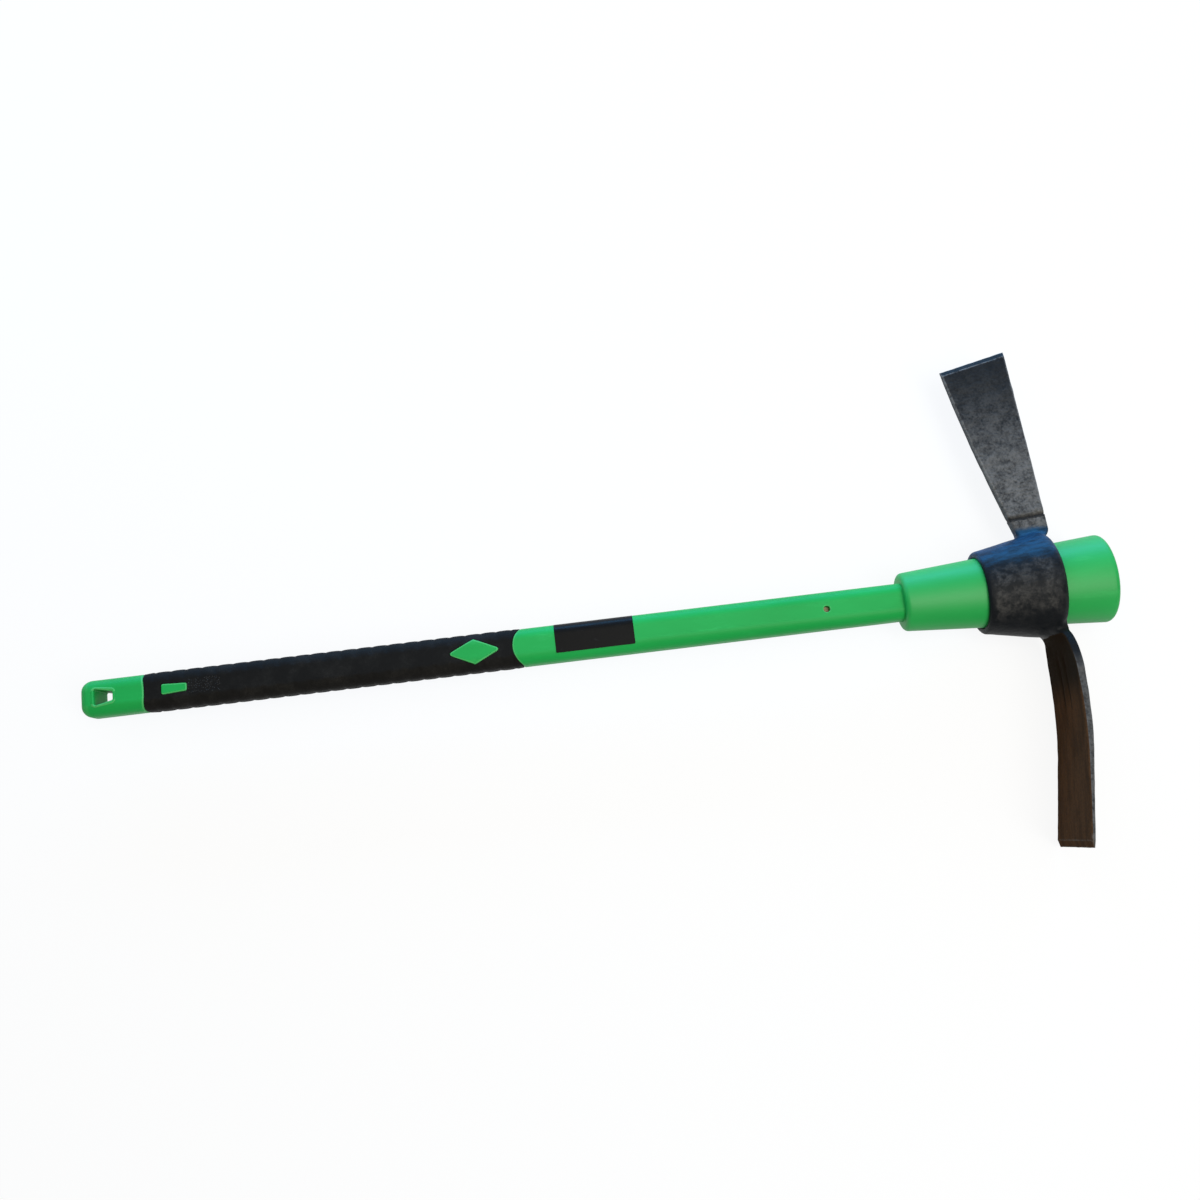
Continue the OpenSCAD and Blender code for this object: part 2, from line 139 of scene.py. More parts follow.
class Graph:
    """Adds and links nodes in one tree."""

    def __init__(self, tree: bpy.types.NodeTree) -> None:
        """Keeps the tree that the nodes go into."""
        self.tree = tree

    def put(self, socket: bpy.types.NodeSocket, value: Value) -> None:
        """Links a socket to another one, or sets its own value.

        Args:
            socket: The input that is set.
            value: An output socket, or a plain value.
        """
        if isinstance(value, bpy.types.NodeSocket):
            self.tree.links.new(value, socket)
        elif socket.type == "RGBA" and len(value) == 3:
            socket.default_value = (*value, 1.0)
        else:
            socket.default_value = value

    def add(self, kind: str, *values: Value, inputs: dict[str, Value] | None = None,
            **settings: object) -> bpy.types.Node:
        """Adds one node.

        Args:
            kind: The node's type name.
            values: Inputs by place.
            inputs: Inputs by name.
            settings: Properties of the node.

        Returns:
            The new node.
        """
        node = self.tree.nodes.new(kind)
        for name, setting in settings.items():
            setattr(node, name, setting)
        for socket, value in zip(node.inputs, values):
            self.put(socket, value)
        for name, value in (inputs or {}).items():
            self.put(node.inputs[name], value)
        return node

    def math(self, operation: str, *values: Value) -> bpy.types.NodeSocket:
        """Returns the result of one Math node."""
        return self.add("ShaderNodeMath", *values, operation=operation).outputs[0]

    def times(self, first: Value, *others: Value) -> Value:
        """Returns the product of all values."""
        product = first
        for other in others:
            product = self.math("MULTIPLY", product, other)
        return product

    def rest_of(self, share: Value) -> bpy.types.NodeSocket:
        """Returns what a share leaves of 1."""
        return self.math("SUBTRACT", 1.0, share)

    def shift(self, share: Value, width: float) -> bpy.types.NodeSocket:
        """Returns a share from 0 to 1 as a shift about zero, over a width."""
        return self.math("MULTIPLY_ADD", share, width, -width / 2)

    def smooth(self, value: Value, low: Value, high: Value, start: float = 0.0,
               end: float = 1.0) -> bpy.types.NodeSocket:
        """Returns a value that runs smoothly from start at low to end at high."""
        return self.add("ShaderNodeMapRange", value, low, high, start, end,
                        interpolation_type="SMOOTHSTEP").outputs[0]

    def ramp(self, value: Value, ramp: Ramp) -> bpy.types.NodeSocket:
        """Returns the ramp's result at a value."""
        return self.smooth(value, ramp.low, ramp.high, ramp.start, ramp.end)

    def blend(self, share: Value, a: Value, b: Value) -> bpy.types.NodeSocket:
        """Returns a colour between a and b."""
        # A Mix node keeps its colour sockets after those for numbers and vectors.
        node = self.add("ShaderNodeMix", share, data_type="RGBA")
        self.put(node.inputs[6], a)
        self.put(node.inputs[7], b)
        return node.outputs[2]

    def apart(self, vector: Value) -> bpy.types.bpy_prop_collection:
        """Returns a vector's parts, by the names X, Y and Z."""
        return self.add("ShaderNodeSeparateXYZ", vector).outputs

    def attribute(self, name: str) -> bpy.types.NodeSocket:
        """Returns the value of a mesh attribute."""
        return self.add("ShaderNodeAttribute", attribute_name=name).outputs["Fac"]

    def noise(self, place: Value, texture: Texture) -> bpy.types.NodeSocket:
        """Returns the value of a noise at a place."""
        if texture.stretch is not None:
            place = self.add("ShaderNodeMapping", inputs={
                "Vector": place, "Scale": texture.stretch}).outputs[0]
        return self.add("ShaderNodeTexNoise", inputs={
            "Vector": place, "Scale": texture.per_m, "Detail": texture.detail,
            "Roughness": texture.roughness}).outputs[0]

    def bump(self, height: Value, relief: Relief, normal: Value | None = None) -> bpy.types.NodeSocket:
        """Returns a normal bent by a height."""
        wanted: dict[str, Value] = {"Height": height, "Distance": relief.depth, "Strength": relief.strength}
        if normal is not None:
            wanted["Normal"] = normal
        return self.add("ShaderNodeBump", inputs=wanted).outputs[0]


class Finish:
    """A material made of nodes on object coordinates."""

    name: str = "finish"

    def paint(self, graph: Graph, place: bpy.types.NodeSocket, shader: bpy.types.Node) -> None:
        """Sets the shader's inputs.

        Args:
            graph: The material's nodes.
            place: Object coordinates.
            shader: The Principled shader.
        """
        raise NotImplementedError

    def build(self) -> bpy.types.Material:
        """Makes the material.

        Returns:
            The new material.
        """
        material = bpy.data.materials.new(self.name)
        material.use_nodes = True
        graph = Graph(material.node_tree)
        shader = material.node_tree.nodes["Principled BSDF"]
        place = graph.add("ShaderNodeTexCoord").outputs["Object"]
        self.paint(graph, place, shader)
        return material


@dataclass(frozen=True)
class ForgedSteel(Finish):
    """Black lacquer over forge scale, greyer where the scale is thick, rubbed bare along edges, with a
    painted blue sheen round the cutter's root and painted shade in the neck's groove, in hollows and on the
    collar's low side and face rounding.

    Ramps named for x or y run along that axis, in metres, and the others over a noise or a mesh attribute.
    """

    name: str = "forged_steel"
    lacquer: Colour = (0.0052, 0.0067, 0.0088)
    scale: Colour = (0.144, 0.139, 0.134)
    bare: Colour = (0.24, 0.235, 0.23)
    # Colour of the painted blue sheen, a painted reflection of cool light on the lacquer.
    painted_sheen_blue: Colour = (0.009, 0.052, 0.106)
    specular: float = 0.11
    roughness: float = 0.42
    scale_roughness: float = 0.20
    grain_roughness: float = 0.12

    mottle: Texture = Texture(120.0, 7.0, 0.66)
    grain: Texture = Texture(430.0, 5.0, 0.62)
    pits: Texture = Texture(1500.0, 2.0, 0.5)
    drawn: Texture = Texture(260.0, 4.0, 0.6, (0.22, 1.0, 1.0))
    scars: Texture = Texture(88.0, 2.0, 0.4, (1.0, 1.9, 1.0))
    patches: Texture = Texture(150.0, 6.0, 0.62)
    fray: Texture = Texture(75.0, 5.0, 0.6)
    groove_fray: Texture = Texture(190.0, 4.0, 0.6)
    streaks: Texture = Texture(210.0, 4.0, 0.62, (0.3, 1.0, 1.0))

    mottle_part: float = 0.55
    speckled: Ramp = Ramp(0.33, 0.64, 0.12, 1.0)
    unscarred: Ramp = Ramp(0.71, 0.76, 1.0, 0.2)
    patched: Ramp = Ramp(0.36, 0.62, 0.1, 1.7)
    streaked: Ramp = Ramp(0.32, 0.62, 0.35, 1.0)
    hollow_shade: Ramp = Ramp(0.35, 0.9, 0.0, 0.9)
    worn_and_highlit: Ramp = Ramp(0.2, 0.9)
    rubbed: Ramp = Ramp(0.34, 0.56)
    rubbed_share: float = 0.7
    rubbed_metal: float = 0.35

    fray_y: float = 0.022
    fray_x_part: float = 0.35
    blade_start_y: Ramp = Ramp(0.049, 0.054)
    blade_thin_y: Ramp = Ramp(0.086, 0.211, 1.0, 0.085)
    blade_worn_y: Ramp = Ramp(0.070, 0.076)
    collar_share: float = 0.19
    collar_rim_x: Ramp = Ramp(-0.1085, -0.1045)
    # Painted shade: the collar's face rounding and low side keep less scale.
    collar_face_x: Ramp = Ramp(-0.0575, -0.0560, 1.0, 0.45)
    collar_low_y: Ramp = Ramp(-0.032, -0.016, 0.12, 1.0)
    collar_high_y: Ramp = Ramp(0.015, 0.020, 1.0, 0.05)
    adze_scale_y: Ramp = Ramp(-0.085, -0.062, 0.66, 0.0)
    adze_worn_y: Ramp = Ramp(-0.07, -0.06, 0.2, 0.0)
    # Painted shade along the groove over the neck's raised band.
    groove_start_y: Ramp = Ramp(0.0623, 0.0635)
    groove_end_y: Ramp = Ramp(0.0645, 0.0693, 1.0, 0.0)
    groove_fray_y: float = 0.0044
    groove_slope: float = -0.052
    groove_shade: float = 0.86
    sheen_start_y: Ramp = Ramp(0.016, 0.029)
    sheen_end_y: Ramp = Ramp(0.0505, 0.0545, 1.0, 0.0)
    sheen_fray_y: float = 0.014

    drawn_relief: Relief = Relief(0.0008, 0.4)
    mottle_relief: Relief = Relief(0.0009, 0.38)
    grain_relief: Relief = Relief(0.0005, 0.6)
    pit_relief: Relief = Relief(0.0001, 0.35)

    def coverage(self, graph: Graph, place: bpy.types.NodeSocket) -> bpy.types.NodeSocket:
        """Returns how much scale shows through the lacquer, by the part of the head; the collar's low side
        and its face rounding keep less scale and stay dark as painted shade.

        Args:
            graph: The material's nodes.
            place: Object coordinates.

        Returns:
            A share from 0 to 1.
        """
        across = graph.apart(place)
        fray = graph.shift(graph.noise(place, self.fray), self.fray_y)
        x = graph.math("MULTIPLY_ADD", fray, self.fray_x_part, across["X"])
        y = graph.math("ADD", across["Y"], fray)
        on_blade = graph.ramp(across["Y"], self.blade_start_y)
        blade = graph.times(graph.ramp(across["Y"], self.blade_thin_y), on_blade)
        patches = graph.ramp(graph.noise(place, self.patches), self.patched)
        # Less scale on the collar's face rounding and low side: painted shade.
        collar = graph.times(graph.ramp(x, self.collar_rim_x), graph.ramp(x, self.collar_face_x),
                             graph.ramp(y, self.collar_low_y), graph.ramp(y, self.collar_high_y),
                             patches, self.collar_share)
        others = graph.math("ADD", collar, graph.ramp(across["Y"], self.adze_scale_y))
        return graph.math("ADD", blade, graph.times(graph.rest_of(on_blade), others))

    def groove(self, graph: Graph, place: bpy.types.NodeSocket) -> bpy.types.NodeSocket:
        """Returns how much painted shade darkens the groove over the neck's raised band.

        Args:
            graph: The material's nodes.
            place: Object coordinates.

        Returns:
            A share from 0 to 1, with ragged ends.
        """
        across = graph.apart(place)
        fray = graph.shift(graph.noise(place, self.groove_fray), self.groove_fray_y)
        slanted = graph.math("MULTIPLY_ADD", across["X"], self.groove_slope, fray)
        y = graph.math("ADD", across["Y"], slanted)
        return graph.times(graph.ramp(y, self.groove_start_y), graph.ramp(y, self.groove_end_y))

    def painted_sheen(self, graph: Graph, place: bpy.types.NodeSocket) -> bpy.types.NodeSocket:
        """Returns how much painted blue sheen, a painted reflection of cool light, lies on the lacquer
        round the root of the cutter.

        Args:
            graph: The material's nodes.
            place: Object coordinates.

        Returns:
            A share from 0 to 1, streaked along the handle.
        """
        y = graph.apart(place)["Y"]
        streaks = graph.noise(place, self.streaks)
        frayed = graph.math("ADD", y, graph.shift(streaks, self.sheen_fray_y))
        return graph.times(graph.ramp(frayed, self.sheen_start_y), graph.ramp(y, self.sheen_end_y),
                           graph.ramp(streaks, self.streaked))

    def paint(self, graph: Graph, place: bpy.types.NodeSocket, shader: bpy.types.Node) -> None:
        """Sets the shader's inputs, as Finish.paint says."""
        mottle = graph.noise(place, self.mottle)
        grain = graph.noise(place, self.grain)
        speckle = graph.math("ADD", graph.times(mottle, self.mottle_part),
                             graph.times(grain, 1 - self.mottle_part))
        # Painted shade along the groove over the neck's band holds the grey scale back.
        groove_unshaded = graph.rest_of(graph.times(self.groove(graph, place), self.groove_shade))
        share = graph.times(self.coverage(graph, place), graph.ramp(speckle, self.speckled),
                            graph.ramp(graph.noise(place, self.scars), self.unscarred), groove_unshaded)
        # The lacquer turns blue round the cutter's root: a painted reflection of the cool light.
        dark = graph.blend(self.painted_sheen(graph, place), self.lacquer, self.painted_sheen_blue)
        colour = graph.blend(share, dark, self.scale)
        # Vertices in hollows turn to black lacquer: painted shade.
        colour = graph.blend(graph.ramp(graph.attribute("hollow"), self.hollow_shade), colour, self.lacquer)
        y = graph.apart(place)["Y"]
        used = graph.math("ADD", graph.ramp(y, self.blade_worn_y), graph.ramp(y, self.adze_worn_y))
        rubbed = graph.times(graph.ramp(graph.attribute("edge_wear_and_highlight"), self.worn_and_highlit), used,
                             graph.ramp(speckle, self.rubbed))
        colour = graph.blend(graph.times(rubbed, self.rubbed_share), colour, self.bare)
        graph.put(shader.inputs["Base Color"], colour)

        rough = graph.math("ADD", graph.times(share, self.scale_roughness),
                           graph.times(grain, self.grain_roughness))
        graph.put(shader.inputs["Roughness"], graph.math("ADD", rough, self.roughness))
        graph.put(shader.inputs["Metallic"], graph.times(rubbed, self.rubbed_metal))
        graph.put(shader.inputs["Specular IOR Level"], self.specular)

        normal = graph.bump(graph.noise(place, self.drawn), self.drawn_relief)
        normal = graph.bump(mottle, self.mottle_relief, normal)
        normal = graph.bump(grain, self.grain_relief, normal)
        normal = graph.bump(graph.noise(place, self.pits), self.pit_relief, normal)
        graph.put(shader.inputs["Normal"], normal)


@dataclass(frozen=True)
class PaintedGroundReflection(Finish):
    """Painted reflection of brown ground on the inner face of the adze, darker towards the collar, streaked
    along the blade.
    """

    name: str = "painted_ground_reflection"
    reflected_brown: Colour = (0.088, 0.042, 0.0195)
    root: Colour = (0.020, 0.0145, 0.0095)
    dark: Colour = (0.018, 0.011, 0.007)
    bare: Colour = (0.15, 0.13, 0.11)
    specular: float = 0.012
    streaks: Texture = Texture(120.0, 5.0, 0.58, (1.0, 0.16, 1.0))
    grain: Texture = Texture(480.0, 5.0, 0.65)
    root_y: Ramp = Ramp(-0.110, -0.080)
    ground_y: Ramp = Ramp(-0.216, -0.210, 1.0, 0.0)
    streaked: Ramp = Ramp(0.34, 0.62, 0.45, 0.0)
    grained: Ramp = Ramp(0.36, 0.62, 0.35, 0.0)
    hollow_shade: Ramp = Ramp(0.1, 0.5, 0.0, 0.8)
    flute_darkened: Ramp = Ramp(0.1, 0.6, 0.0, 0.85)
    worn_and_highlit: Ramp = Ramp(0.2, 0.9)
    rubbed: Ramp = Ramp(0.34, 0.56)
    rubbed_share: float = 0.6
    roughness: Ramp = Ramp(0.2, 0.8, 0.62, 0.82)
    streak_relief: Relief = Relief(0.0006, 0.35)
    grain_relief: Relief = Relief(0.0003, 0.5)

    def paint(self, graph: Graph, place: bpy.types.NodeSocket, shader: bpy.types.Node) -> None:
        """Sets the shader's inputs, as Finish.paint says."""
        y = graph.apart(place)["Y"]
        streaks = graph.noise(place, self.streaks)
        grain = graph.noise(place, self.grain)
        # Painted brown reflection of the ground, darker towards the collar.
        colour = graph.blend(graph.ramp(y, self.root_y), self.reflected_brown, self.root)
        # Streaks and grain darken the face at random; hollows get painted shade, and the flutes are darker
        # along their length.
        for source, ramp in ((streaks, self.streaked), (grain, self.grained),
                             (graph.attribute("hollow"), self.hollow_shade), (graph.attribute("flute_darkening"), self.flute_darkened)):
            colour = graph.blend(graph.ramp(source, ramp), colour, self.dark)
        ground = graph.times(graph.attribute("edge_wear_and_highlight"), graph.ramp(y, self.ground_y))
        rubbed = graph.times(graph.ramp(ground, self.worn_and_highlit), graph.ramp(grain, self.rubbed),
                             self.rubbed_share)
        graph.put(shader.inputs["Base Color"], graph.blend(rubbed, colour, self.bare))
        graph.put(shader.inputs["Roughness"], graph.ramp(grain, self.roughness))
        graph.put(shader.inputs["Specular IOR Level"], self.specular)
        ribbed = graph.bump(streaks, self.streak_relief)
        graph.put(shader.inputs["Normal"], graph.bump(grain, self.grain_relief, ribbed))


@dataclass(frozen=True)
class GreenMoulding(Finish):
    """Smooth moulded polypropylene with faint flow clouds, handling scuffs and a painted highlight on edges
    that stand out.
    """

    name: str = "green_moulding"
    base: Colour = (0.010, 0.385, 0.075)
    pale: Colour = (0.036, 0.465, 0.115)
    deep: Colour = (0.006, 0.330, 0.060)
    # Lighter colour of the painted highlight on raised edges.
    rim: Colour = (0.10, 0.51, 0.16)
    specular: float = 0.20
    roughness: float = 0.41
    scuff_roughness: float = 0.14
    cloud_roughness: float = 0.16
    clouds: Texture = Texture(16.0, 4.0, 0.55, (0.35, 1.0, 1.0))
    scuffs: Texture = Texture(70.0, 8.0, 0.72, (0.22, 1.0, 1.0))
    skin: Texture = Texture(1900.0, 2.0, 0.5)
    clouded: Ramp = Ramp(0.34, 0.70)
    scuffed: Ramp = Ramp(0.56, 0.76)
    scuff_share: float = 0.5
    worn_and_highlit: Ramp = Ramp(0.15, 0.85, 0.0, 0.65)
    cloud_relief: Relief = Relief(0.0016, 0.10)
    skin_relief: Relief = Relief(0.00006, 0.25)

    def paint(self, graph: Graph, place: bpy.types.NodeSocket, shader: bpy.types.Node) -> None:
        """Sets the shader's inputs, as Finish.paint says."""
        clouds = graph.noise(place, self.clouds)
        scuffed = graph.ramp(graph.noise(place, self.scuffs), self.scuffed)
        colour = graph.blend(graph.ramp(clouds, self.clouded), self.deep, self.base)
        colour = graph.blend(graph.times(scuffed, self.scuff_share), colour, self.pale)
        # Edges that stand out turn to the lighter rim colour: a painted highlight.
        colour = graph.blend(graph.ramp(graph.attribute("edge_wear_and_highlight"), self.worn_and_highlit), colour, self.rim)
        graph.put(shader.inputs["Base Color"], colour)
        rough = graph.math("ADD", graph.times(scuffed, self.scuff_roughness),
                           graph.times(clouds, self.cloud_roughness))
        graph.put(shader.inputs["Roughness"], graph.math("ADD", rough, self.roughness))
        graph.put(shader.inputs["Specular IOR Level"], self.specular)
        wavy = graph.bump(clouds, self.cloud_relief)
        skin = graph.noise(place, self.skin)
        graph.put(shader.inputs["Normal"], graph.bump(skin, self.skin_relief, wavy))


@dataclass(frozen=True)
class GripRubber(Finish):
    """Matt black moulded rubber with a fine grain and a trace of dust."""

    name: str = "grip_rubber"
    base: Colour = (0.0090, 0.0088, 0.0086)
    dusty: Colour = (0.030, 0.029, 0.027)
    specular: float = 0.06
    dust: Texture = Texture(55.0, 8.0, 0.7)
    grain: Texture = Texture(1300.0, 3.0, 0.6)
    dusted: Ramp = Ramp(0.42, 0.72)
    held: Ramp = Ramp(0.3, 0.7)
    dust_share: float = 0.7
    roughness: Ramp = Ramp(0.2, 0.8, 0.56, 0.72)
    grain_relief: Relief = Relief(0.00018, 0.55)

    def paint(self, graph: Graph, place: bpy.types.NodeSocket, shader: bpy.types.Node) -> None:
        """Sets the shader's inputs, as Finish.paint says."""
        grain = graph.noise(place, self.grain)
        lying = graph.times(graph.ramp(graph.noise(place, self.dust), self.dusted),
                            graph.ramp(grain, self.held), self.dust_share)
        graph.put(shader.inputs["Base Color"], graph.blend(lying, self.base, self.dusty))
        graph.put(shader.inputs["Roughness"], graph.ramp(grain, self.roughness))
        graph.put(shader.inputs["Specular IOR Level"], self.specular)
        graph.put(shader.inputs["Normal"], graph.bump(grain, self.grain_relief))


@dataclass(frozen=True)
class BlankFilm(Finish):
    """Plain dark adhesive film with a satin face."""

    name: str = "blank_film"
    base: Colour = (0.0058, 0.0057, 0.0058)
    rubbed: Colour = (0.026, 0.026, 0.026)
    specular: float = 0.08
    scratches: Texture = Texture(260.0, 7.0, 0.7, (0.3, 1.0, 1.0))
    ripples: Texture = Texture(85.0, 2.0, 0.5)
    scratched: Ramp = Ramp(0.58, 0.75)
    roughness: Ramp = Ramp(0.3, 0.8, 0.30, 0.48)
    ripple_relief: Relief = Relief(0.0004, 0.2)

    def paint(self, graph: Graph, place: bpy.types.NodeSocket, shader: bpy.types.Node) -> None:
        """Sets the shader's inputs, as Finish.paint says."""
        scratches = graph.noise(place, self.scratches)
        colour = graph.blend(graph.ramp(scratches, self.scratched), self.base, self.rubbed)
        graph.put(shader.inputs["Base Color"], colour)
        graph.put(shader.inputs["Roughness"], graph.ramp(scratches, self.roughness))
        graph.put(shader.inputs["Specular IOR Level"], self.specular)
        graph.put(shader.inputs["Normal"], graph.bump(graph.noise(place, self.ripples), self.ripple_relief))


@dataclass(frozen=True)
class FibreglassBar(Finish):
    """Glass-filled resin with strands along the bar."""

    name: str = "fibreglass_bar"
    resin: Colour = (0.22, 0.165, 0.060)
    strand: Colour = (0.36, 0.30, 0.155)
    specular: float = 0.5
    strands: Texture = Texture(1500.0, 4.0, 0.6, (0.03, 1.0, 1.0))
    stranded: Ramp = Ramp(0.35, 0.65)
    roughness: Ramp = Ramp(0.2, 0.8, 0.35, 0.6)
    strand_relief: Relief = Relief(0.00015, 0.4)

    def paint(self, graph: Graph, place: bpy.types.NodeSocket, shader: bpy.types.Node) -> None:
        """Sets the shader's inputs, as Finish.paint says."""
        strands = graph.noise(place, self.strands)
        colour = graph.blend(graph.ramp(strands, self.stranded), self.resin, self.strand)
        graph.put(shader.inputs["Base Color"], colour)
        graph.put(shader.inputs["Roughness"], graph.ramp(strands, self.roughness))
        graph.put(shader.inputs["Specular IOR Level"], self.specular)
        graph.put(shader.inputs["Normal"], graph.bump(strands, self.strand_relief))


# Meshes


@dataclass
class Skin:
    """Points and faces of a mesh that is still being made."""

    points: np.ndarray
    faces: list[tuple[int, ...]]

    @classmethod
    def loft(cls, rings: Sequence[np.ndarray], looped: bool = False) -> "Skin":
        """Runs a skin through rings with equal counts of points.

        Args:
            rings: The rings in order, each with one point to a row.
            looped: True joins the last ring to the first, False closes both ends.

        Returns:
            The closed skin.
        """
        count = len(rings[0])
        total = len(rings)
        faces: list[tuple[int, ...]] = []
        for i in range(total if looped else total - 1):
            a = i * count
            b = (i + 1) % total * count
            faces += [(a + j, a + (j + 1) % count, b + (j + 1) % count, b + j) for j in range(count)]
        if not looped:
            faces.append(tuple(range(count - 1, -1, -1)))
            faces.append(tuple(range((total - 1) * count, total * count)))
        return cls(np.concatenate(rings), faces)

    def with_skins(self, others: Sequence["Skin"]) -> "Skin":
        """Returns this skin and others as one mesh of separate shells."""
        points = [self.points]
        faces = list(self.faces)
        start = len(self.points)
        for other in others:
            points.append(other.points)
            faces += [tuple(start + i for i in face) for face in other.faces]
            start += len(other.points)
        return Skin(np.concatenate(points), faces)

    def to_object(self, name: str) -> bpy.types.Object:
        """Makes an object of the skin, with its faces pointing outwards.

        Args:
            name: The object's name.

        Returns:
            The new object, in the scene.
        """
        mesh = bpy.data.meshes.new(name)
        mesh.from_pydata(self.points.tolist(), [], self.faces)
        obj = bpy.data.objects.new(name, mesh)
        bpy.context.scene.collection.objects.link(obj)
        face_outwards(mesh)
        return obj


def face_outwards(mesh: bpy.types.Mesh) -> None:
    """Turns every shell's faces outwards."""
    work = bmesh.new()
    work.from_mesh(mesh)
    bmesh.ops.recalc_face_normals(work, faces=work.faces[:])
    work.to_mesh(mesh)
    work.free()
    mesh.update()


def bake_modifiers(obj: bpy.types.Object) -> None:
    """Turns an object's modifiers into plain mesh."""
    depsgraph = bpy.context.evaluated_depsgraph_get()
    mesh = bpy.data.meshes.new_from_object(obj.evaluated_get(depsgraph))
    old = obj.data
    obj.modifiers.clear()
    obj.data = mesh
    bpy.data.meshes.remove(old)


def work_on(obj: bpy.types.Object, tool: bpy.types.Object, cut: Cut) -> None:
    """Adds one solid to another or cuts it away, and removes the tool.

    Args:
        obj: The solid that changes.
        tool: The solid that works on it.
        cut: What the tool does.
    """
    modifier = obj.modifiers.new("work", "BOOLEAN")
    modifier.operation = cut.value
    modifier.solver = "EXACT"
    modifier.object = tool
    bake_modifiers(obj)
    mesh = tool.data
    bpy.data.objects.remove(tool)
    bpy.data.meshes.remove(mesh)


def positions(mesh: bpy.types.Mesh) -> np.ndarray:
    """Returns the mesh's vertices, one to a row."""
    flat = np.empty(len(mesh.vertices) * 3)
    mesh.vertices.foreach_get("co", flat)
    return flat.reshape(-1, 3)


def set_positions(mesh: bpy.types.Mesh, points: np.ndarray) -> None:
    """Moves the mesh's vertices."""
    mesh.vertices.foreach_set("co", points.ravel())
    mesh.update()


def edges_of(mesh: bpy.types.Mesh) -> np.ndarray:
    """Returns the vertex pairs of the mesh's edges."""
    flat = np.empty(len(mesh.edges) * 2, dtype=np.int64)
    mesh.edges.foreach_get("vertices", flat)
    return flat.reshape(-1, 2)


def normals_of(mesh: bpy.types.Mesh) -> np.ndarray:
    """Returns the vertices' normals, one to a row."""
    flat = np.empty(len(mesh.vertices) * 3, dtype=np.float32)
    mesh.vertex_normals.foreach_get("vector", flat)
    return flat.reshape(-1, 3).astype(float)


def mark_edges_and_hollows(mesh: bpy.types.Mesh, full_at: float, fine: float = 0.005) -> None:
    """Stores how far each vertex stands out of its neighbours or lies below them.

    Finishes rub bare or paint a highlight on what stands out, the attribute edge_wear_and_highlight, and
    paint shade into what lies low, the attribute hollow.

    Args:
        mesh: The mesh.
        full_at: The lift, as a share of an edge's length, that counts in full.
        fine: The edge length up to which the mesh is fine enough to carry it.
    """
    points = positions(mesh)
    pairs = edges_of(mesh)
    normals = normals_of(mesh)
    spans = points[pairs[:, 1]] - points[pairs[:, 0]]
    lengths = np.maximum(np.linalg.norm(spans, axis=1), 1e-9)
    spans /= lengths[:, None]
    lift = np.zeros(len(points))
    count = np.zeros(len(points))
    longest = np.zeros(len(points))
    for end, sign in ((0, -1.0), (1, 1.0)):
        np.add.at(lift, pairs[:, end], sign * np.einsum("ij,ij->i", normals[pairs[:, end]], spans))
        np.add.at(count, pairs[:, end], 1.0)
        np.maximum.at(longest, pairs[:, end], lengths)
    lift *= (longest < fine) / (np.maximum(count, 1.0) * full_at)
    for name, sign in (("edge_wear_and_highlight", 1.0), ("hollow", -1.0)):
        values = np.clip(sign * lift, 0.0, 1.0).astype(np.float32)
        mesh.attributes.new(name, "FLOAT", "POINT").data.foreach_set("value", values)


def tidy_faces(mesh: bpy.types.Mesh, melt: float = 2e-6, weld: float = 2e-7) -> None:
    """Splits faces of many corners, melts faces without area, welds equal points and closes slits.

    Args:
        mesh: The mesh.
        melt: The edge length up to which a face has no area.
        weld: The distance up to which points are equal.
    """
    work = bmesh.new()
    work.from_mesh(mesh)
    many = [face for face in work.faces if len(face.verts) > 4]
    bmesh.ops.triangulate(work, faces=many, quad_method="BEAUTY", ngon_method="BEAUTY")
    bmesh.ops.dissolve_degenerate(work, edges=work.edges[:], dist=melt)
    bmesh.ops.remove_doubles(work, verts=work.verts[:], dist=weld)
    slits = [edge for edge in work.edges if edge.is_boundary]
    bmesh.ops.holes_fill(work, edges=slits, sides=4)
    work.to_mesh(mesh)
    work.free()


def finish_piece(obj: bpy.types.Object, material: bpy.types.Material, crease: float = 60.0,
                 edge_full_at: float = 1.0) -> None:
    """Shades a piece smoothly up to a crease angle, marks its edges and hollows and gives it its material.

    Args:
        obj: The piece.
        material: Its finish.
        crease: The angle past which an edge stays sharp, in degrees.
        edge_full_at: As mark_edges_and_hollows's full_at.
    """
    mesh = obj.data
    tidy_faces(mesh)
    mesh.materials.clear()
    mesh.materials.append(material)
    mesh.polygons.foreach_set("use_smooth", np.ones(len(mesh.polygons), dtype=bool))
    mesh.set_sharp_from_angle(angle=math.radians(crease))
    mark_edges_and_hollows(mesh, edge_full_at)
    mesh.update()
    LOG.info("%s: %d faces", obj.name, len(mesh.polygons))


def mount(obj: bpy.types.Object, body: Body, slot: Slot, replaced: Node | None = None) -> None:
    """Fixes a piece to a body of the frame.

    Args:
        obj: The piece.
        body: The body that it moves with.
        slot: The record's slot for its finish; not used.
        replaced: The solid that it stands for, if any.
    """
    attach(obj, body.value)
    if replaced is not None:
        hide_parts(replaced.value)


def mix(a: Number, b: Number, t: float) -> Number:
    """Returns the value at share t between a and b."""
    return a + (b - a) * t


def arc(r: float, start: float, end: float, steps: int) -> np.ndarray:
    """Returns points of an arc about the origin, with its angles in degrees."""
    angles = np.radians(np.linspace(start, end, steps + 1))
    return r * np.stack([np.cos(angles), np.sin(angles)], axis=1)


def between(a: np.ndarray, b: np.ndarray, steps: int) -> np.ndarray:
    """Returns the points that split the line from a to b into steps, without its ends."""
    t = np.linspace(0, 1, steps + 1)[1:-1, None]
    return a * (1 - t) + b * t


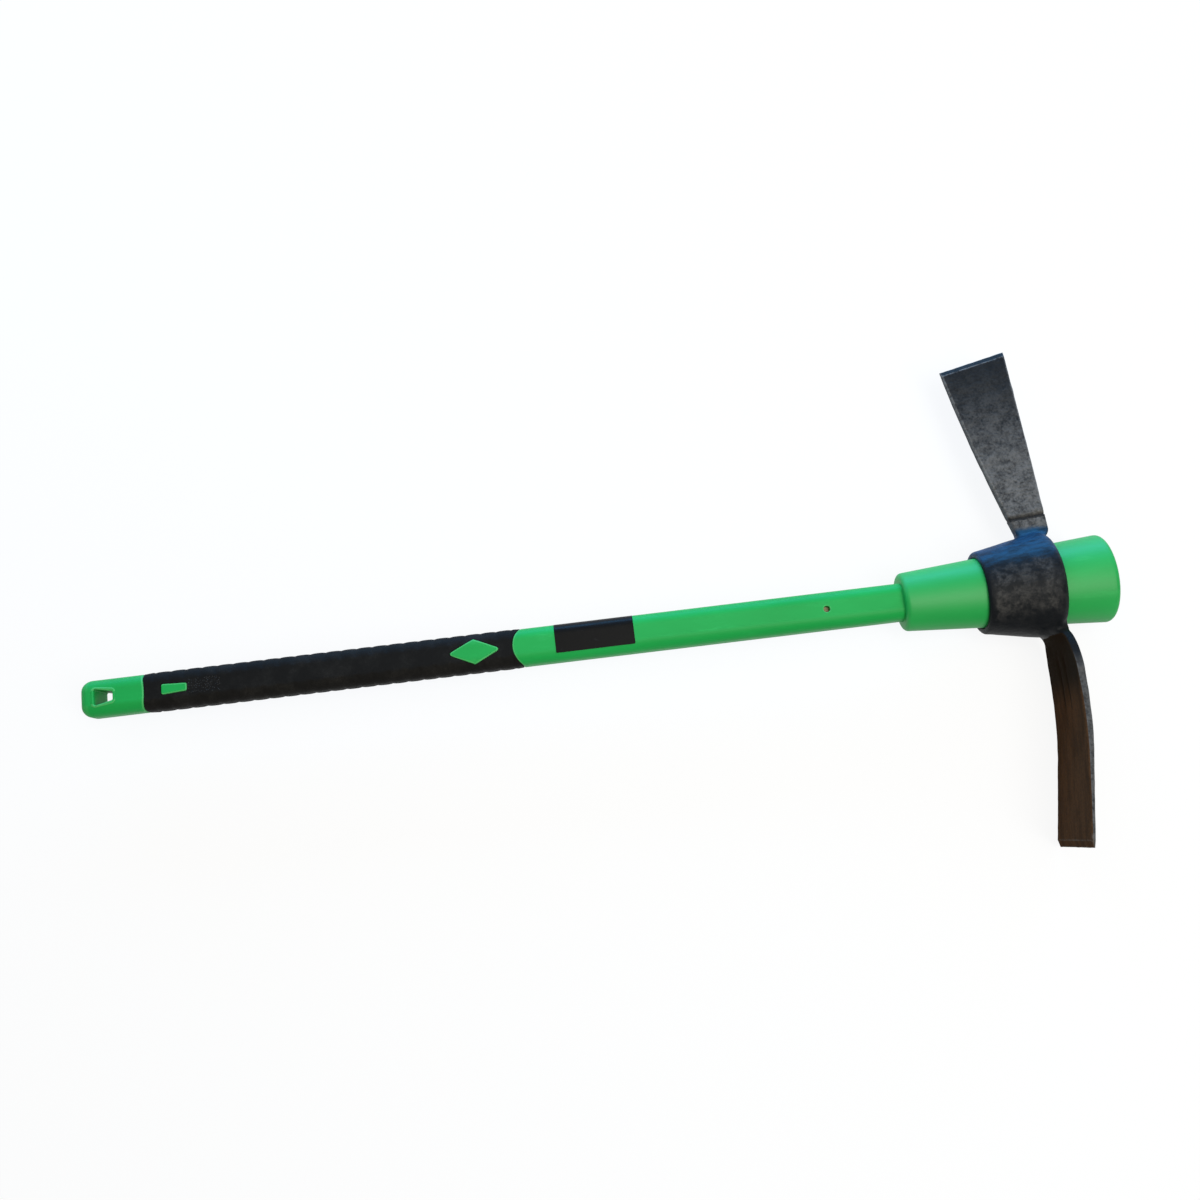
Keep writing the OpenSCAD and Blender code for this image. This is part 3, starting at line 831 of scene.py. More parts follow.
def oblong(a: float, b: float, r: float, corner_steps: int, a_steps: int, b_steps: int) -> np.ndarray:
    """Returns a rounded rectangle about the origin.

    Args:
        a: Its size along the first axis.
        b: Its size along the second axis.
        r: The corners' radius.
        corner_steps: Steps in one corner.
        a_steps: Steps in a side along the first axis.
        b_steps: Steps in a side along the second axis.

    Returns:
        The outline's points, one to a row.
    """
    signs = ((1, 1), (-1, 1), (-1, -1), (1, -1))
    corners = [np.array([sa * (a / 2 - r), sb * (b / 2 - r)]) + arc(r, 90 * i, 90 * i + 90, corner_steps)
               for i, (sa, sb) in enumerate(signs)]
    points = []
    for i, corner in enumerate(corners):
        points.append(corner)
        points.append(between(corner[-1], corners[(i + 1) % 4][0], b_steps if i % 2 else a_steps))
    return np.concatenate(points)


@dataclass(frozen=True)
class Section:
    """Rounded section that the handle's layers share: height along Y, width along Z."""

    height: float
    width: float
    corner: float
    corner_steps: int = 16
    height_steps: int = 14
    width_steps: int = 9

    def outline(self, inset_y: float = 0.0, inset_z: float = 0.0) -> np.ndarray:
        """Returns the section drawn in by an inset on each side, as Y and Z."""
        height = self.height - 2 * inset_y
        width = self.width - 2 * inset_z
        corner = max(self.corner - max(inset_y, inset_z, 0.0), 0.25 * min(height, width))
        corner = min(corner, 0.49 * min(height, width))
        return oblong(height, width, corner, self.corner_steps, self.height_steps, self.width_steps)

    def top(self, y: np.ndarray) -> np.ndarray:
        """Returns the height of the upper face over the middle plane at each Y."""
        past = np.maximum(np.abs(y) - (self.height / 2 - self.corner), 0.0)
        fall = self.corner - np.sqrt(np.maximum(self.corner ** 2 - past ** 2, 0.0))
        return self.width / 2 - fall


def ring_at(x: Number, outline: np.ndarray) -> np.ndarray:
    """Returns an outline of Y and Z as a ring at a place along the handle."""
    return np.column_stack([np.broadcast_to(x, len(outline)), outline])


def oval_solid(profile: Profile, ratio: float, steps: int) -> Skin:
    """Makes an oval solid along the handle's axis.

    Args:
        profile: Pairs of place along the handle and half height.
        ratio: The width as a share of the height.
        steps: Steps round the oval.

    Returns:
        The closed solid.
    """
    angles = np.radians(np.linspace(0, 360, steps, endpoint=False))
    oval = np.column_stack([np.cos(angles), ratio * np.sin(angles)])
    return Skin.loft([ring_at(x, r * oval) for x, r in profile])


def tapered_profile(x: tuple[float, float], r: tuple[float, float], rounds: tuple[float, float],
                    steps: tuple[int, int, int]) -> Profile:
    """Describes a tapered solid along the handle with both its rims rounded.

    Args:
        x: Places of the small end and the big end.
        r: The half heights there, before the rounding.
        rounds: The radii of the rims.
        steps: Steps in the small end's rim, the straight run and the big end's rim.

    Returns:
        Pairs of place along the handle and half height.
    """
    lean = math.atan2(r[1] - r[0], x[1] - x[0])
    turn, reach = math.tan(lean), 1 / math.cos(lean)
    small = (r[0] + rounds[0] * (turn - reach), x[0] + rounds[0])
    big = (r[1] - rounds[1] * (turn + reach), x[1] - rounds[1])
    lower = arc(rounds[0], -90, -math.degrees(lean), steps[0]) + small
    upper = arc(rounds[1], -math.degrees(lean), 90, steps[2]) + big
    run = between(lower[-1], upper[0], steps[1])
    return [(along, height) for height, along in np.concatenate([lower, run, upper])]


def prism(outline: np.ndarray, half_depth: float, name: str) -> bpy.types.Object:
    """Makes a prism along Z of an outline of X and Y."""
    return Skin.loft([np.column_stack([outline, np.full(len(outline), z)])
                      for z in (-half_depth, half_depth)]).to_object(name)


def wedge_outline(x: float, length: float, wide: float, narrow: float, corner: float) -> Outline:
    """Describes a wedge-shaped opening that is wider towards the butt.

    Args:
        x: Its middle along the handle.
        length: Its length.
        wide: Its height on the butt side.
        narrow: Its height on the head side.
        corner: Its corners' radius.

    Returns:
        A function that gives the outline grown by an amount, as X and Y.
    """
    tilt = math.atan2(wide - narrow, 2 * length)

    def outline(grow: float) -> np.ndarray:
        """Returns the grown outline."""
        r = corner + grow
        half = length / 2 + grow
        rear = wide / 2 + grow - r * (math.tan(tilt) + 1 / math.cos(tilt))
        front = narrow / 2 + grow + r * (math.tan(tilt) - 1 / math.cos(tilt))
        lean = math.degrees(tilt)
        upper_rear = arc(r, 180, 90 - lean, CORNER_STEPS) + (r - half, rear)
        upper_front = arc(r, 90 - lean, 0, CORNER_STEPS) + (half - r, front)
        side = between(upper_rear[-1], upper_front[0], SIDE_STEPS)
        upper = np.concatenate([upper_rear, side, upper_front])
        lower = upper[::-1] * (1, -1)
        return np.concatenate([upper, lower]) + (x, 0.0)

    return outline


def diamond_outline(x: float, length: float, height: float, corner: float) -> Outline:
    """Describes a diamond-shaped opening.

    Args:
        x: Its middle along the handle.
        length: Its length.
        height: Its height.
        corner: Its corners' radius.

    Returns:
        A function that gives the outline grown by an amount, as X and Y.
    """
    side = math.atan2(height, length)
    lean = math.degrees(side)

    def outline(grow: float) -> np.ndarray:
        """Returns the grown outline."""
        r = corner + grow
        a = length / 2 + grow / math.sin(side) - r / math.sin(side)
        b = height / 2 + grow / math.cos(side) - r / math.cos(side)
        turns = ((lean - 90, 90 - lean, (a, 0.0)), (90 - lean, 90 + lean, (0.0, b)),
                 (90 + lean, 270 - lean, (-a, 0.0)), (270 - lean, 270 + lean, (0.0, -b)))
        corners = [arc(r, start, end, CORNER_STEPS) + centre for start, end, centre in turns]
        sides = [between(corners[i][-1], corners[(i + 1) % 4][0], SIDE_STEPS) for i in range(4)]
        return np.concatenate([part for pair in zip(corners, sides) for part in pair]) + (x, 0.0)

    return outline


def circle_outline(x: float, diameter: float, steps: int = 48) -> Outline:
    """Describes a round opening, as wedge_outline does."""

    def outline(grow: float) -> np.ndarray:
        """Returns the grown outline."""
        return arc(diameter / 2 + grow, 0, 360, steps)[:-1] + (x, 0.0)

    return outline


def lip(outline: Outline, section: Section, profile: Profile) -> Skin:
    """Makes the softened rim of an opening that goes right through the handle.

    Args:
        outline: The opening.
        section: The section whose faces the rim lies on.
        profile: Pairs of growth and lift over the face, from the outside in.

    Returns:
        A ring that lines the opening and folds over both faces.
    """
    rings = []
    for side, stages in ((1.0, profile), (-1.0, profile[::-1])):
        for grow, lift in stages:
            flat = outline(grow)
            rings.append(np.column_stack([flat, side * (section.top(flat[:, 1]) + lift)]))
    return Skin.loft(rings, looped=True)


def island(outline: Outline, section: Section, side: Face, depth: float, edge: float, lift: float) -> Skin:
    """Makes a raised island whose top follows the section's face.

    Args:
        outline: The island's outline.
        section: The section whose face it follows.
        side: The face that it lies on.
        depth: How far it goes down into the handle.
        edge: The rounding of its rim.
        lift: How far its top stands over the section's face.

    Returns:
        The closed island.
    """
    stages = [(0.0, -depth), (0.0, lift - edge), (-0.3 * edge, lift - 0.3 * edge), (-edge, lift),
              (-2 * edge, lift)]
    flats = [(outline(grow), drop) for grow, drop in stages]
    rim = flats[-1][0]
    centre = rim.mean(axis=0)
    flats += [(centre + (rim - centre) * share, lift) for share in (0.75, 0.5, 0.25, 0.05)]
    return Skin.loft([np.column_stack([flat, side.value * (section.top(flat[:, 1]) + drop)])
                      for flat, drop in flats])


# Handle


@dataclass(frozen=True)
class HandleSizes:
    """Places along the handle and the sizes that its layers share."""

    butt_x: float
    grip_rear_x: float
    grip_front_x: float
    jacket_end_x: float
    section: Section
    tongue_depth: float = 0.008
    bow_depth: float = 0.002
    grip_wall: float = 0.0026
    diamond_from_front: float = 0.0415
    diamond_length: float = 0.0474
    diamond_height: float = 0.0224
    diamond_corner: float = 0.002
    tab_from_rear: float = 0.0265
    tab_length: float = 0.0224
    tab_wide: float = 0.0095
    tab_narrow: float = 0.007
    tab_corner: float = 0.0018

    @classmethod
    def from_frame(cls, corner: float = 0.010) -> "HandleSizes":
        """Reads the sizes from the frame's solids.

        Args:
            corner: The section's corner radius.

        Returns:
            The sizes.
        """
        low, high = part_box(Node.JACKET.value)
        grip_low, grip_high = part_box(Node.GRIP.value)
        section = Section(high.y - low.y, high.z - low.z, corner)
        return cls(low.x, grip_low.x + cls.bow_depth, grip_high.x, high.x, section)

    def windows(self) -> tuple[Outline, Outline]:
        """Returns the outlines of the grip's windows: the diamond and the tab."""
        diamond = diamond_outline(self.grip_front_x - self.diamond_from_front, self.diamond_length,
                                  self.diamond_height, self.diamond_corner)
        tab = wedge_outline(self.grip_rear_x + self.tab_from_rear, self.tab_length, self.tab_wide,
                            self.tab_narrow, self.tab_corner)
        return diamond, tab

    def bulge(self, depth: float, y: np.ndarray) -> np.ndarray:
        """Returns how far a round edge of a given depth has fallen back at each Y."""
        half = self.section.height / 2
        r = (half ** 2 + depth ** 2) / (2 * depth)
        return r - np.sqrt(r ** 2 - np.minimum(np.abs(y), half) ** 2)

    def front_edge(self, y: np.ndarray) -> np.ndarray:
        """Returns where the grip's curved front edge lies along the handle at each Y."""
        return self.grip_front_x - self.tongue_depth + self.bulge(self.tongue_depth, y)

    def rear_edge(self, y: np.ndarray) -> np.ndarray:
        """Returns where the grip's bowed rear edge lies along the handle at each Y."""
        return self.grip_rear_x - self.bulge(self.bow_depth, y)


@dataclass
class Jacket:
    """Green moulding: butt with its hang hole, shaft and the islands in the grip's windows."""

    sizes: HandleSizes
    butt_round: float = 0.010
    butt_side_round: float = 0.0085
    edge: float = 0.0008
    hang_from_end: float = 0.0218
    hang_length: float = 0.0162
    hang_wide: float = 0.0145
    hang_narrow: float = 0.0074
    hang_corner: float = 0.0013
    hang_cut: float = 0.0009
    hang_rim: Profile = ((0.0027, -0.0006), (0.0026, 0.0001), (0.0022, 0.00034), (0.0014, 0.0004),
                         (0.0007, 0.00028), (0.00025, -0.00005), (0.0, -0.0007), (0.0, -0.004))
    support_x: float = -0.247
    support_d: float = 0.0056
    support_cut: float = 0.0003
    support_rim: Profile = ((0.0009, -0.0003), (0.0007, 0.00003), (0.0003, -0.00002), (0.0, -0.0004),
                            (0.0, -0.003))
    island_lift: float = 0.0001
    round_steps: int = 14
    crease: float = 32.0
    edge_full_at: float = 0.14

    def butt_rings(self) -> list[np.ndarray]:
        """Returns the rings of the rounded butt end."""
        rings = []
        for angle in np.radians(np.linspace(0, 90, self.round_steps + 1)):
            run = self.butt_round * (1 - math.cos(angle))
            left = max(self.butt_side_round - run, 0.0)
            inset_y = self.butt_round * (1 - math.sin(angle))
            inset_z = self.butt_side_round - math.sqrt(self.butt_side_round ** 2 - left ** 2)
            rings.append(ring_at(self.sizes.butt_x + run, self.sizes.section.outline(inset_y, inset_z)))
        return rings

    def body(self) -> Skin:
        """Returns the moulding from the butt to the end in the sleeve, drawn in under the grip."""
        sizes = self.sizes
        outlines = {inset: sizes.section.outline(inset, inset) for inset in
                    (0.0, 0.3 * self.edge, self.edge, sizes.grip_wall)}
        rear = [(2.4 * self.edge, 0.0), (self.edge, 0.0), (0.3 * self.edge, 0.3 * self.edge),
                (0.0, self.edge), (0.0, sizes.grip_wall)]
        rings = self.butt_rings()
        rings += [ring_at(sizes.rear_edge(outlines[inset][:, 0]) - back, outlines[inset])
                  for back, inset in rear]
        rings += [ring_at(sizes.front_edge(outlines[inset][:, 0]) + back, outlines[inset])
                  for back, inset in reversed(rear)]
        rings.append(ring_at(sizes.jacket_end_x, outlines[0.0]))
        return Skin.loft(rings)

    def build(self, material: bpy.types.Material) -> bpy.types.Object:
        """Makes the moulding.

        Args:
            material: Its finish.

        Returns:
            The finished piece.
        """
        section = self.sizes.section
        hang = wedge_outline(self.sizes.butt_x + self.hang_from_end, self.hang_length, self.hang_wide,
                             self.hang_narrow, self.hang_corner)
        support = circle_outline(self.support_x, self.support_d)
        obj = self.body().to_object("shaft_jacket")
        work_on(obj, prism(hang(self.hang_cut), section.width, "hang_cut"), Cut.DIFFERENCE)
        work_on(obj, prism(support(self.support_cut), section.width, "support_cut"), Cut.DIFFERENCE)
        trims = [lip(hang, section, self.hang_rim), lip(support, section, self.support_rim)]
        trims += [island(shape, section, side, self.sizes.grip_wall, self.edge, self.island_lift)
                  for shape in self.sizes.windows() for side in Face]
        faces = [tuple(polygon.vertices) for polygon in obj.data.polygons]
        whole = Skin(positions(obj.data), faces).with_skins(trims)
        bpy.data.objects.remove(obj)
        piece = whole.to_object("shaft_jacket")
        finish_piece(piece, material, self.crease, self.edge_full_at)
        return piece


@dataclass
class EyeSleeve:
    """Green tapered sleeve that the head wedges on."""

    length: float = 0.180
    end_height: float = 0.078
    end_width: float = 0.0686
    small_height: float = 0.051
    end_round: float = 0.0045
    shoulder_round: float = 0.0045
    core_height: float = 0.021
    core_width: float = 0.016
    core_corner: float = 0.006
    core_gap: float = 0.0001
    core_cut_x: tuple[float, float] = (-0.02, 0.01)
    core_steps: tuple[int, int, int] = (8, 2, 2)
    steps: int = 160
    profile_steps: tuple[int, int, int] = (9, 24, 9)
    crease: float = 32.0
    edge_full_at: float = 0.5

    def build(self, material: bpy.types.Material) -> bpy.types.Object:
        """Makes the sleeve.

        Args:
            material: Its finish.

        Returns:
            The finished piece.
        """
        profile = tapered_profile((-self.length, 0.0), (self.small_height / 2, self.end_height / 2),
                                  (self.shoulder_round, self.end_round), self.profile_steps)
        obj = oval_solid(profile, self.end_width / self.end_height, self.steps).to_object("eye_taper")
        bar = oblong(self.core_height + 2 * self.core_gap, self.core_width + 2 * self.core_gap,
                     self.core_corner, *self.core_steps)
        bar_cut = Skin.loft([ring_at(x, bar) for x in self.core_cut_x]).to_object("bar_cut")
        work_on(obj, bar_cut, Cut.DIFFERENCE)
        finish_piece(obj, material, self.crease, self.edge_full_at)
        return obj


def new_tree(name: str, sizes: Sequence[str]) -> bpy.types.NodeTree:
    """Makes an empty geometry tree.

    Args:
        name: Its name.
        sizes: The names of its number inputs, which follow the geometry.

    Returns:
        The tree, with its inputs and its output.
    """
    tree = bpy.data.node_groups.new(name, "GeometryNodeTree")
    tree.interface.new_socket("Geometry", in_out="INPUT", socket_type="NodeSocketGeometry")
    for size in sizes:
        tree.interface.new_socket(size, in_out="INPUT", socket_type="NodeSocketFloat")
    tree.interface.new_socket("Geometry", in_out="OUTPUT", socket_type="NodeSocketGeometry")
    return tree


def dress_output(graph: Graph, geometry: bpy.types.NodeSocket, material: bpy.types.Material) -> None:
    """Makes a tree's geometry real, gives it its finish and hands it out.

    Args:
        graph: The tree's nodes.
        geometry: The geometry.
        material: Its finish.
    """
    real = graph.add("GeometryNodeRealizeInstances", geometry).outputs[0]
    dressed = graph.add("GeometryNodeSetMaterial", inputs={"Geometry": real, "Material": material})
    graph.add("NodeGroupOutput", dressed.outputs[0])


@dataclass
class GripSwells:
    """Node tree that presses a row of cross grooves into the grip's narrow sides."""

    name: str = "grip_swells"
    inputs: tuple[str, ...] = ("Pitch", "Depth", "First", "Last", "Inner Reach", "Outer Reach")
    sharpness: float = 1.8
    fade: float = 0.002

    def tree(self, material: bpy.types.Material) -> bpy.types.NodeTree:
        """Makes the tree.

        Args:
            material: The finish that it sets.

        Returns:
            The tree, with one named input for each size.
        """
        tree = new_tree(self.name, self.inputs)
        graph = Graph(tree)
        size = graph.add("NodeGroupInput").outputs
        place = graph.apart(graph.add("GeometryNodeInputPosition").outputs[0])
        outer = graph.add("GeometryNodeInputNamedAttribute", "outer", data_type="FLOAT").outputs[0]
        turns = graph.math("DIVIDE", graph.math("SUBTRACT", place["X"], size["First"]), size["Pitch"])
        wave = graph.math("ABSOLUTE", graph.math("SINE", graph.times(turns, math.pi)))
        groove = graph.math("POWER", graph.rest_of(wave), self.sharpness)
        sides = graph.smooth(graph.math("ABSOLUTE", place["Y"]), size["Inner Reach"], size["Outer Reach"])
        started = graph.smooth(place["X"], graph.math("SUBTRACT", size["First"], self.fade), size["First"])
        ended = graph.smooth(place["X"], size["Last"], graph.math("ADD", size["Last"], self.fade), 1.0, 0.0)
        depth = graph.times(graph.times(groove, sides, size["Depth"], outer), graph.times(started, ended))
        push = graph.add("ShaderNodeVectorMath", graph.add("GeometryNodeInputNormal").outputs[0],
                         operation="SCALE", inputs={"Scale": graph.times(depth, -1.0)}).outputs[0]
        moved = graph.add("GeometryNodeSetPosition", inputs={"Geometry": size["Geometry"], "Offset": push})
        dress_output(graph, moved.outputs[0], material)
        return tree

    def press(self, obj: bpy.types.Object, material: bpy.types.Material, sizes: dict[str, float]) -> None:
        """Presses the grooves into an object.

        Args:
            obj: The plain grip.
            material: Its finish.
            sizes: A value for each of the tree's inputs.
        """
        run_tree(obj, self.tree(material), sizes)


@dataclass
class Stipple:
    """Node tree that scatters small raised dots over a patch."""

    name: str = "stipple"
    inputs: tuple[str, ...] = ("Spacing", "Density", "Dot Radius")
    seed: int = 7
    subdivisions: int = 2
    smallest: float = 0.55

    def tree(self, material: bpy.types.Material) -> bpy.types.NodeTree:
        """Makes the tree, as GripSwells.tree does."""
        tree = new_tree(self.name, self.inputs)
        graph = Graph(tree)
        size = graph.add("NodeGroupInput").outputs
        spread = graph.add("GeometryNodeDistributePointsOnFaces", distribute_method="POISSON", inputs={
            "Mesh": size["Geometry"], "Distance Min": size["Spacing"], "Density Max": size["Density"],
            "Seed": self.seed})
        dot = graph.add("GeometryNodeMeshIcoSphere", inputs={
            "Radius": size["Dot Radius"], "Subdivisions": self.subdivisions})
        # A Random Value node keeps its float sockets after those for vectors.
        growth = graph.add("FunctionNodeRandomValue", data_type="FLOAT")
        graph.put(growth.inputs[2], self.smallest)
        graph.put(growth.inputs[3], 1.0)
        graph.put(growth.inputs["Seed"], self.seed)
        dots = graph.add("GeometryNodeInstanceOnPoints", inputs={
            "Points": spread.outputs["Points"], "Instance": dot.outputs["Mesh"],
            "Scale": growth.outputs[1]})
        dress_output(graph, dots.outputs[0], material)
        return tree


def run_tree(obj: bpy.types.Object, tree: bpy.types.NodeTree, sizes: dict[str, float]) -> None:
    """Runs a node tree on an object and keeps the result as plain mesh.

    Args:
        obj: The object.
        tree: The tree.
        sizes: A value for each of the tree's named inputs.
    """
    modifier = obj.modifiers.new(tree.name, "NODES")
    modifier.node_group = tree
    for item in tree.interface.items_tree:
        if item.in_out == "INPUT" and item.name in sizes:
            modifier[item.identifier] = sizes[item.name]
    bake_modifiers(obj)


@dataclass
class Grip:
    """Black rubber grip with windows, a curved front edge and pressed swells."""

    sizes: HandleSizes
    rise: float = 0.0006
    groove_depth: float = 0.00065
    run_in: float = 0.008
    swell_count: int = 23
    edge: float = 0.0007
    window_gap: float = 0.0003
    rings: int = 364
    stipple_run: tuple[float, float] = (0.039, 0.067)
    stipple_height: float = 0.0125
    gap: float = 0.0001
    groove_reach: tuple[float, float] = (0.0072, 0.0100)
    dot_spacing: float = 0.0012
    dots_per_m2: float = 5.0e5
    dot_radius: float = 0.00036
    crease: float = 38.0
    edge_full_at: float = 0.5

    def tube(self) -> bpy.types.Object:
        """Returns the plain grip, a closed tube whose outer points carry the attribute outer."""
        sizes = self.sizes
        along = np.linspace(0, 1, self.rings)
        length = sizes.grip_front_x - sizes.grip_rear_x
        rings = []
        for share in along:
            from_end = min(share, 1 - share) * length
            swell = self.rise * min(from_end / self.run_in, 1.0)
            left = max(self.edge - from_end, 0.0)
            inset = self.edge - math.sqrt(self.edge ** 2 - left ** 2)
            outline = sizes.section.outline(inset - swell, inset)
            front = sizes.front_edge(outline[:, 0]) - self.gap
            rear = sizes.rear_edge(outline[:, 0]) + self.gap
            rings.append(ring_at(rear + (front - rear) * share, outline))
        inner = sizes.section.outline(sizes.grip_wall, sizes.grip_wall)
        rings += [ring_at(sizes.front_edge(inner[:, 0]) - self.gap, inner),
                  ring_at(sizes.rear_edge(inner[:, 0]) + self.gap, inner)]
        obj = Skin.loft(rings, looped=True).to_object("soft_grip")
        outer = np.ones(len(obj.data.vertices), dtype=np.float32)
        outer[-2 * len(inner):] = 0.0
        obj.data.attributes.new("outer", "FLOAT", "POINT").data.foreach_set("value", outer)
        return obj

    def build(self, material: bpy.types.Material) -> bpy.types.Object:
        """Makes the grip.

        Args:
            material: Its finish.

        Returns:
            The finished piece.
        """
        obj = self.tube()
        first = self.sizes.grip_rear_x + self.run_in
        last = self.sizes.grip_front_x - self.run_in
        inner, outer = self.groove_reach
        GripSwells().press(obj, material, {
            "Pitch": (last - first) / self.swell_count, "Depth": self.groove_depth, "First": first,
            "Last": last, "Inner Reach": inner, "Outer Reach": outer})
        for shape in self.sizes.windows():
            window = prism(shape(self.window_gap), self.sizes.section.width, "window_cut")
            work_on(obj, window, Cut.DIFFERENCE)
        finish_piece(obj, material, self.crease, self.edge_full_at)
        return obj

    def dots(self, material: bpy.types.Material) -> bpy.types.Object:
        """Makes the stippled patch on the head side of the tab.

        Args:
            material: Its finish.

        Returns:
            The finished dots, in one mesh.
        """
        x0, x1 = (self.sizes.grip_rear_x + run for run in self.stipple_run)
        z = self.sizes.section.width / 2
        half = self.stipple_height / 2
        corners = np.array([(x0, -half, z), (x1, -half, z), (x1, half, z), (x0, half, z)])
        mesh = bpy.data.meshes.new("grip_stipple")
        mesh.from_pydata(corners.tolist(), [], [(0, 1, 2, 3)])
        obj = bpy.data.objects.new("grip_stipple", mesh)
        bpy.context.scene.collection.objects.link(obj)
        run_tree(obj, Stipple().tree(material), {
            "Spacing": self.dot_spacing, "Density": self.dots_per_m2, "Dot Radius": self.dot_radius})
        finish_piece(obj, material)
        return obj


@dataclass
class BlankSticker:
    """Plain dark film round the shaft's upper face and its cutter side."""

    sizes: HandleSizes
    start_x: float = -0.484
    length: float = 0.069
    lower_y: float = -0.010
    overlap: float = 0.013
    corner: float = 0.0008
    thickness: float = 0.00018
    glue: float = 0.00002
    steps: int = 60
    turn_steps: int = 24
    crease: float = 40.0

    def strip(self, lift: float) -> np.ndarray:
        """Returns the film's run round the section at a lift over it, as Y and Z."""
        section = self.sizes.section
        flat_y = section.height / 2 - section.corner
        flat_z = section.width / 2 - section.corner
        turn = arc(section.corner + lift, 90, 0, self.turn_steps) + (flat_y, flat_z)
        start = np.array([self.lower_y, section.width / 2 + lift])
        end = turn[-1] - (0.0, self.overlap)
        corners = np.concatenate([start[None], turn, end[None]])
        runs = np.concatenate([[0.0], np.cumsum(np.linalg.norm(np.diff(corners, axis=0), axis=1))])
        wanted = np.linspace(0, runs[-1], self.steps)
        return np.column_stack([np.interp(wanted, runs, corners[:, k]) for k in (0, 1)])

    def build(self, material: bpy.types.Material) -> bpy.types.Object:
        """Makes the film.

        Args:
            material: Its finish.

        Returns:
            The finished piece.
        """
        layers = [self.strip(lift) for lift in (self.glue, self.glue + self.thickness)]
        run = np.linalg.norm(np.diff(layers[0], axis=0), axis=1)
        place = np.concatenate([[0.0], np.cumsum(run)])
        rings = []
        for i, down in enumerate(place):
            near = min(down, place[-1] - down)
            cut = max(self.corner - near, 0.0)
            inset = self.corner - math.sqrt(max(self.corner ** 2 - cut ** 2, 0.0))
            xs = np.linspace(self.start_x + inset, self.start_x + self.length - inset, self.steps)
            under = [(x, *layers[0][i]) for x in xs]
            over = [(x, *layers[1][i]) for x in xs[::-1]]
            rings.append(np.array(under + over))
        obj = Skin.loft(rings).to_object("blank_film")
        finish_piece(obj, material, self.crease)
        return obj


# Head


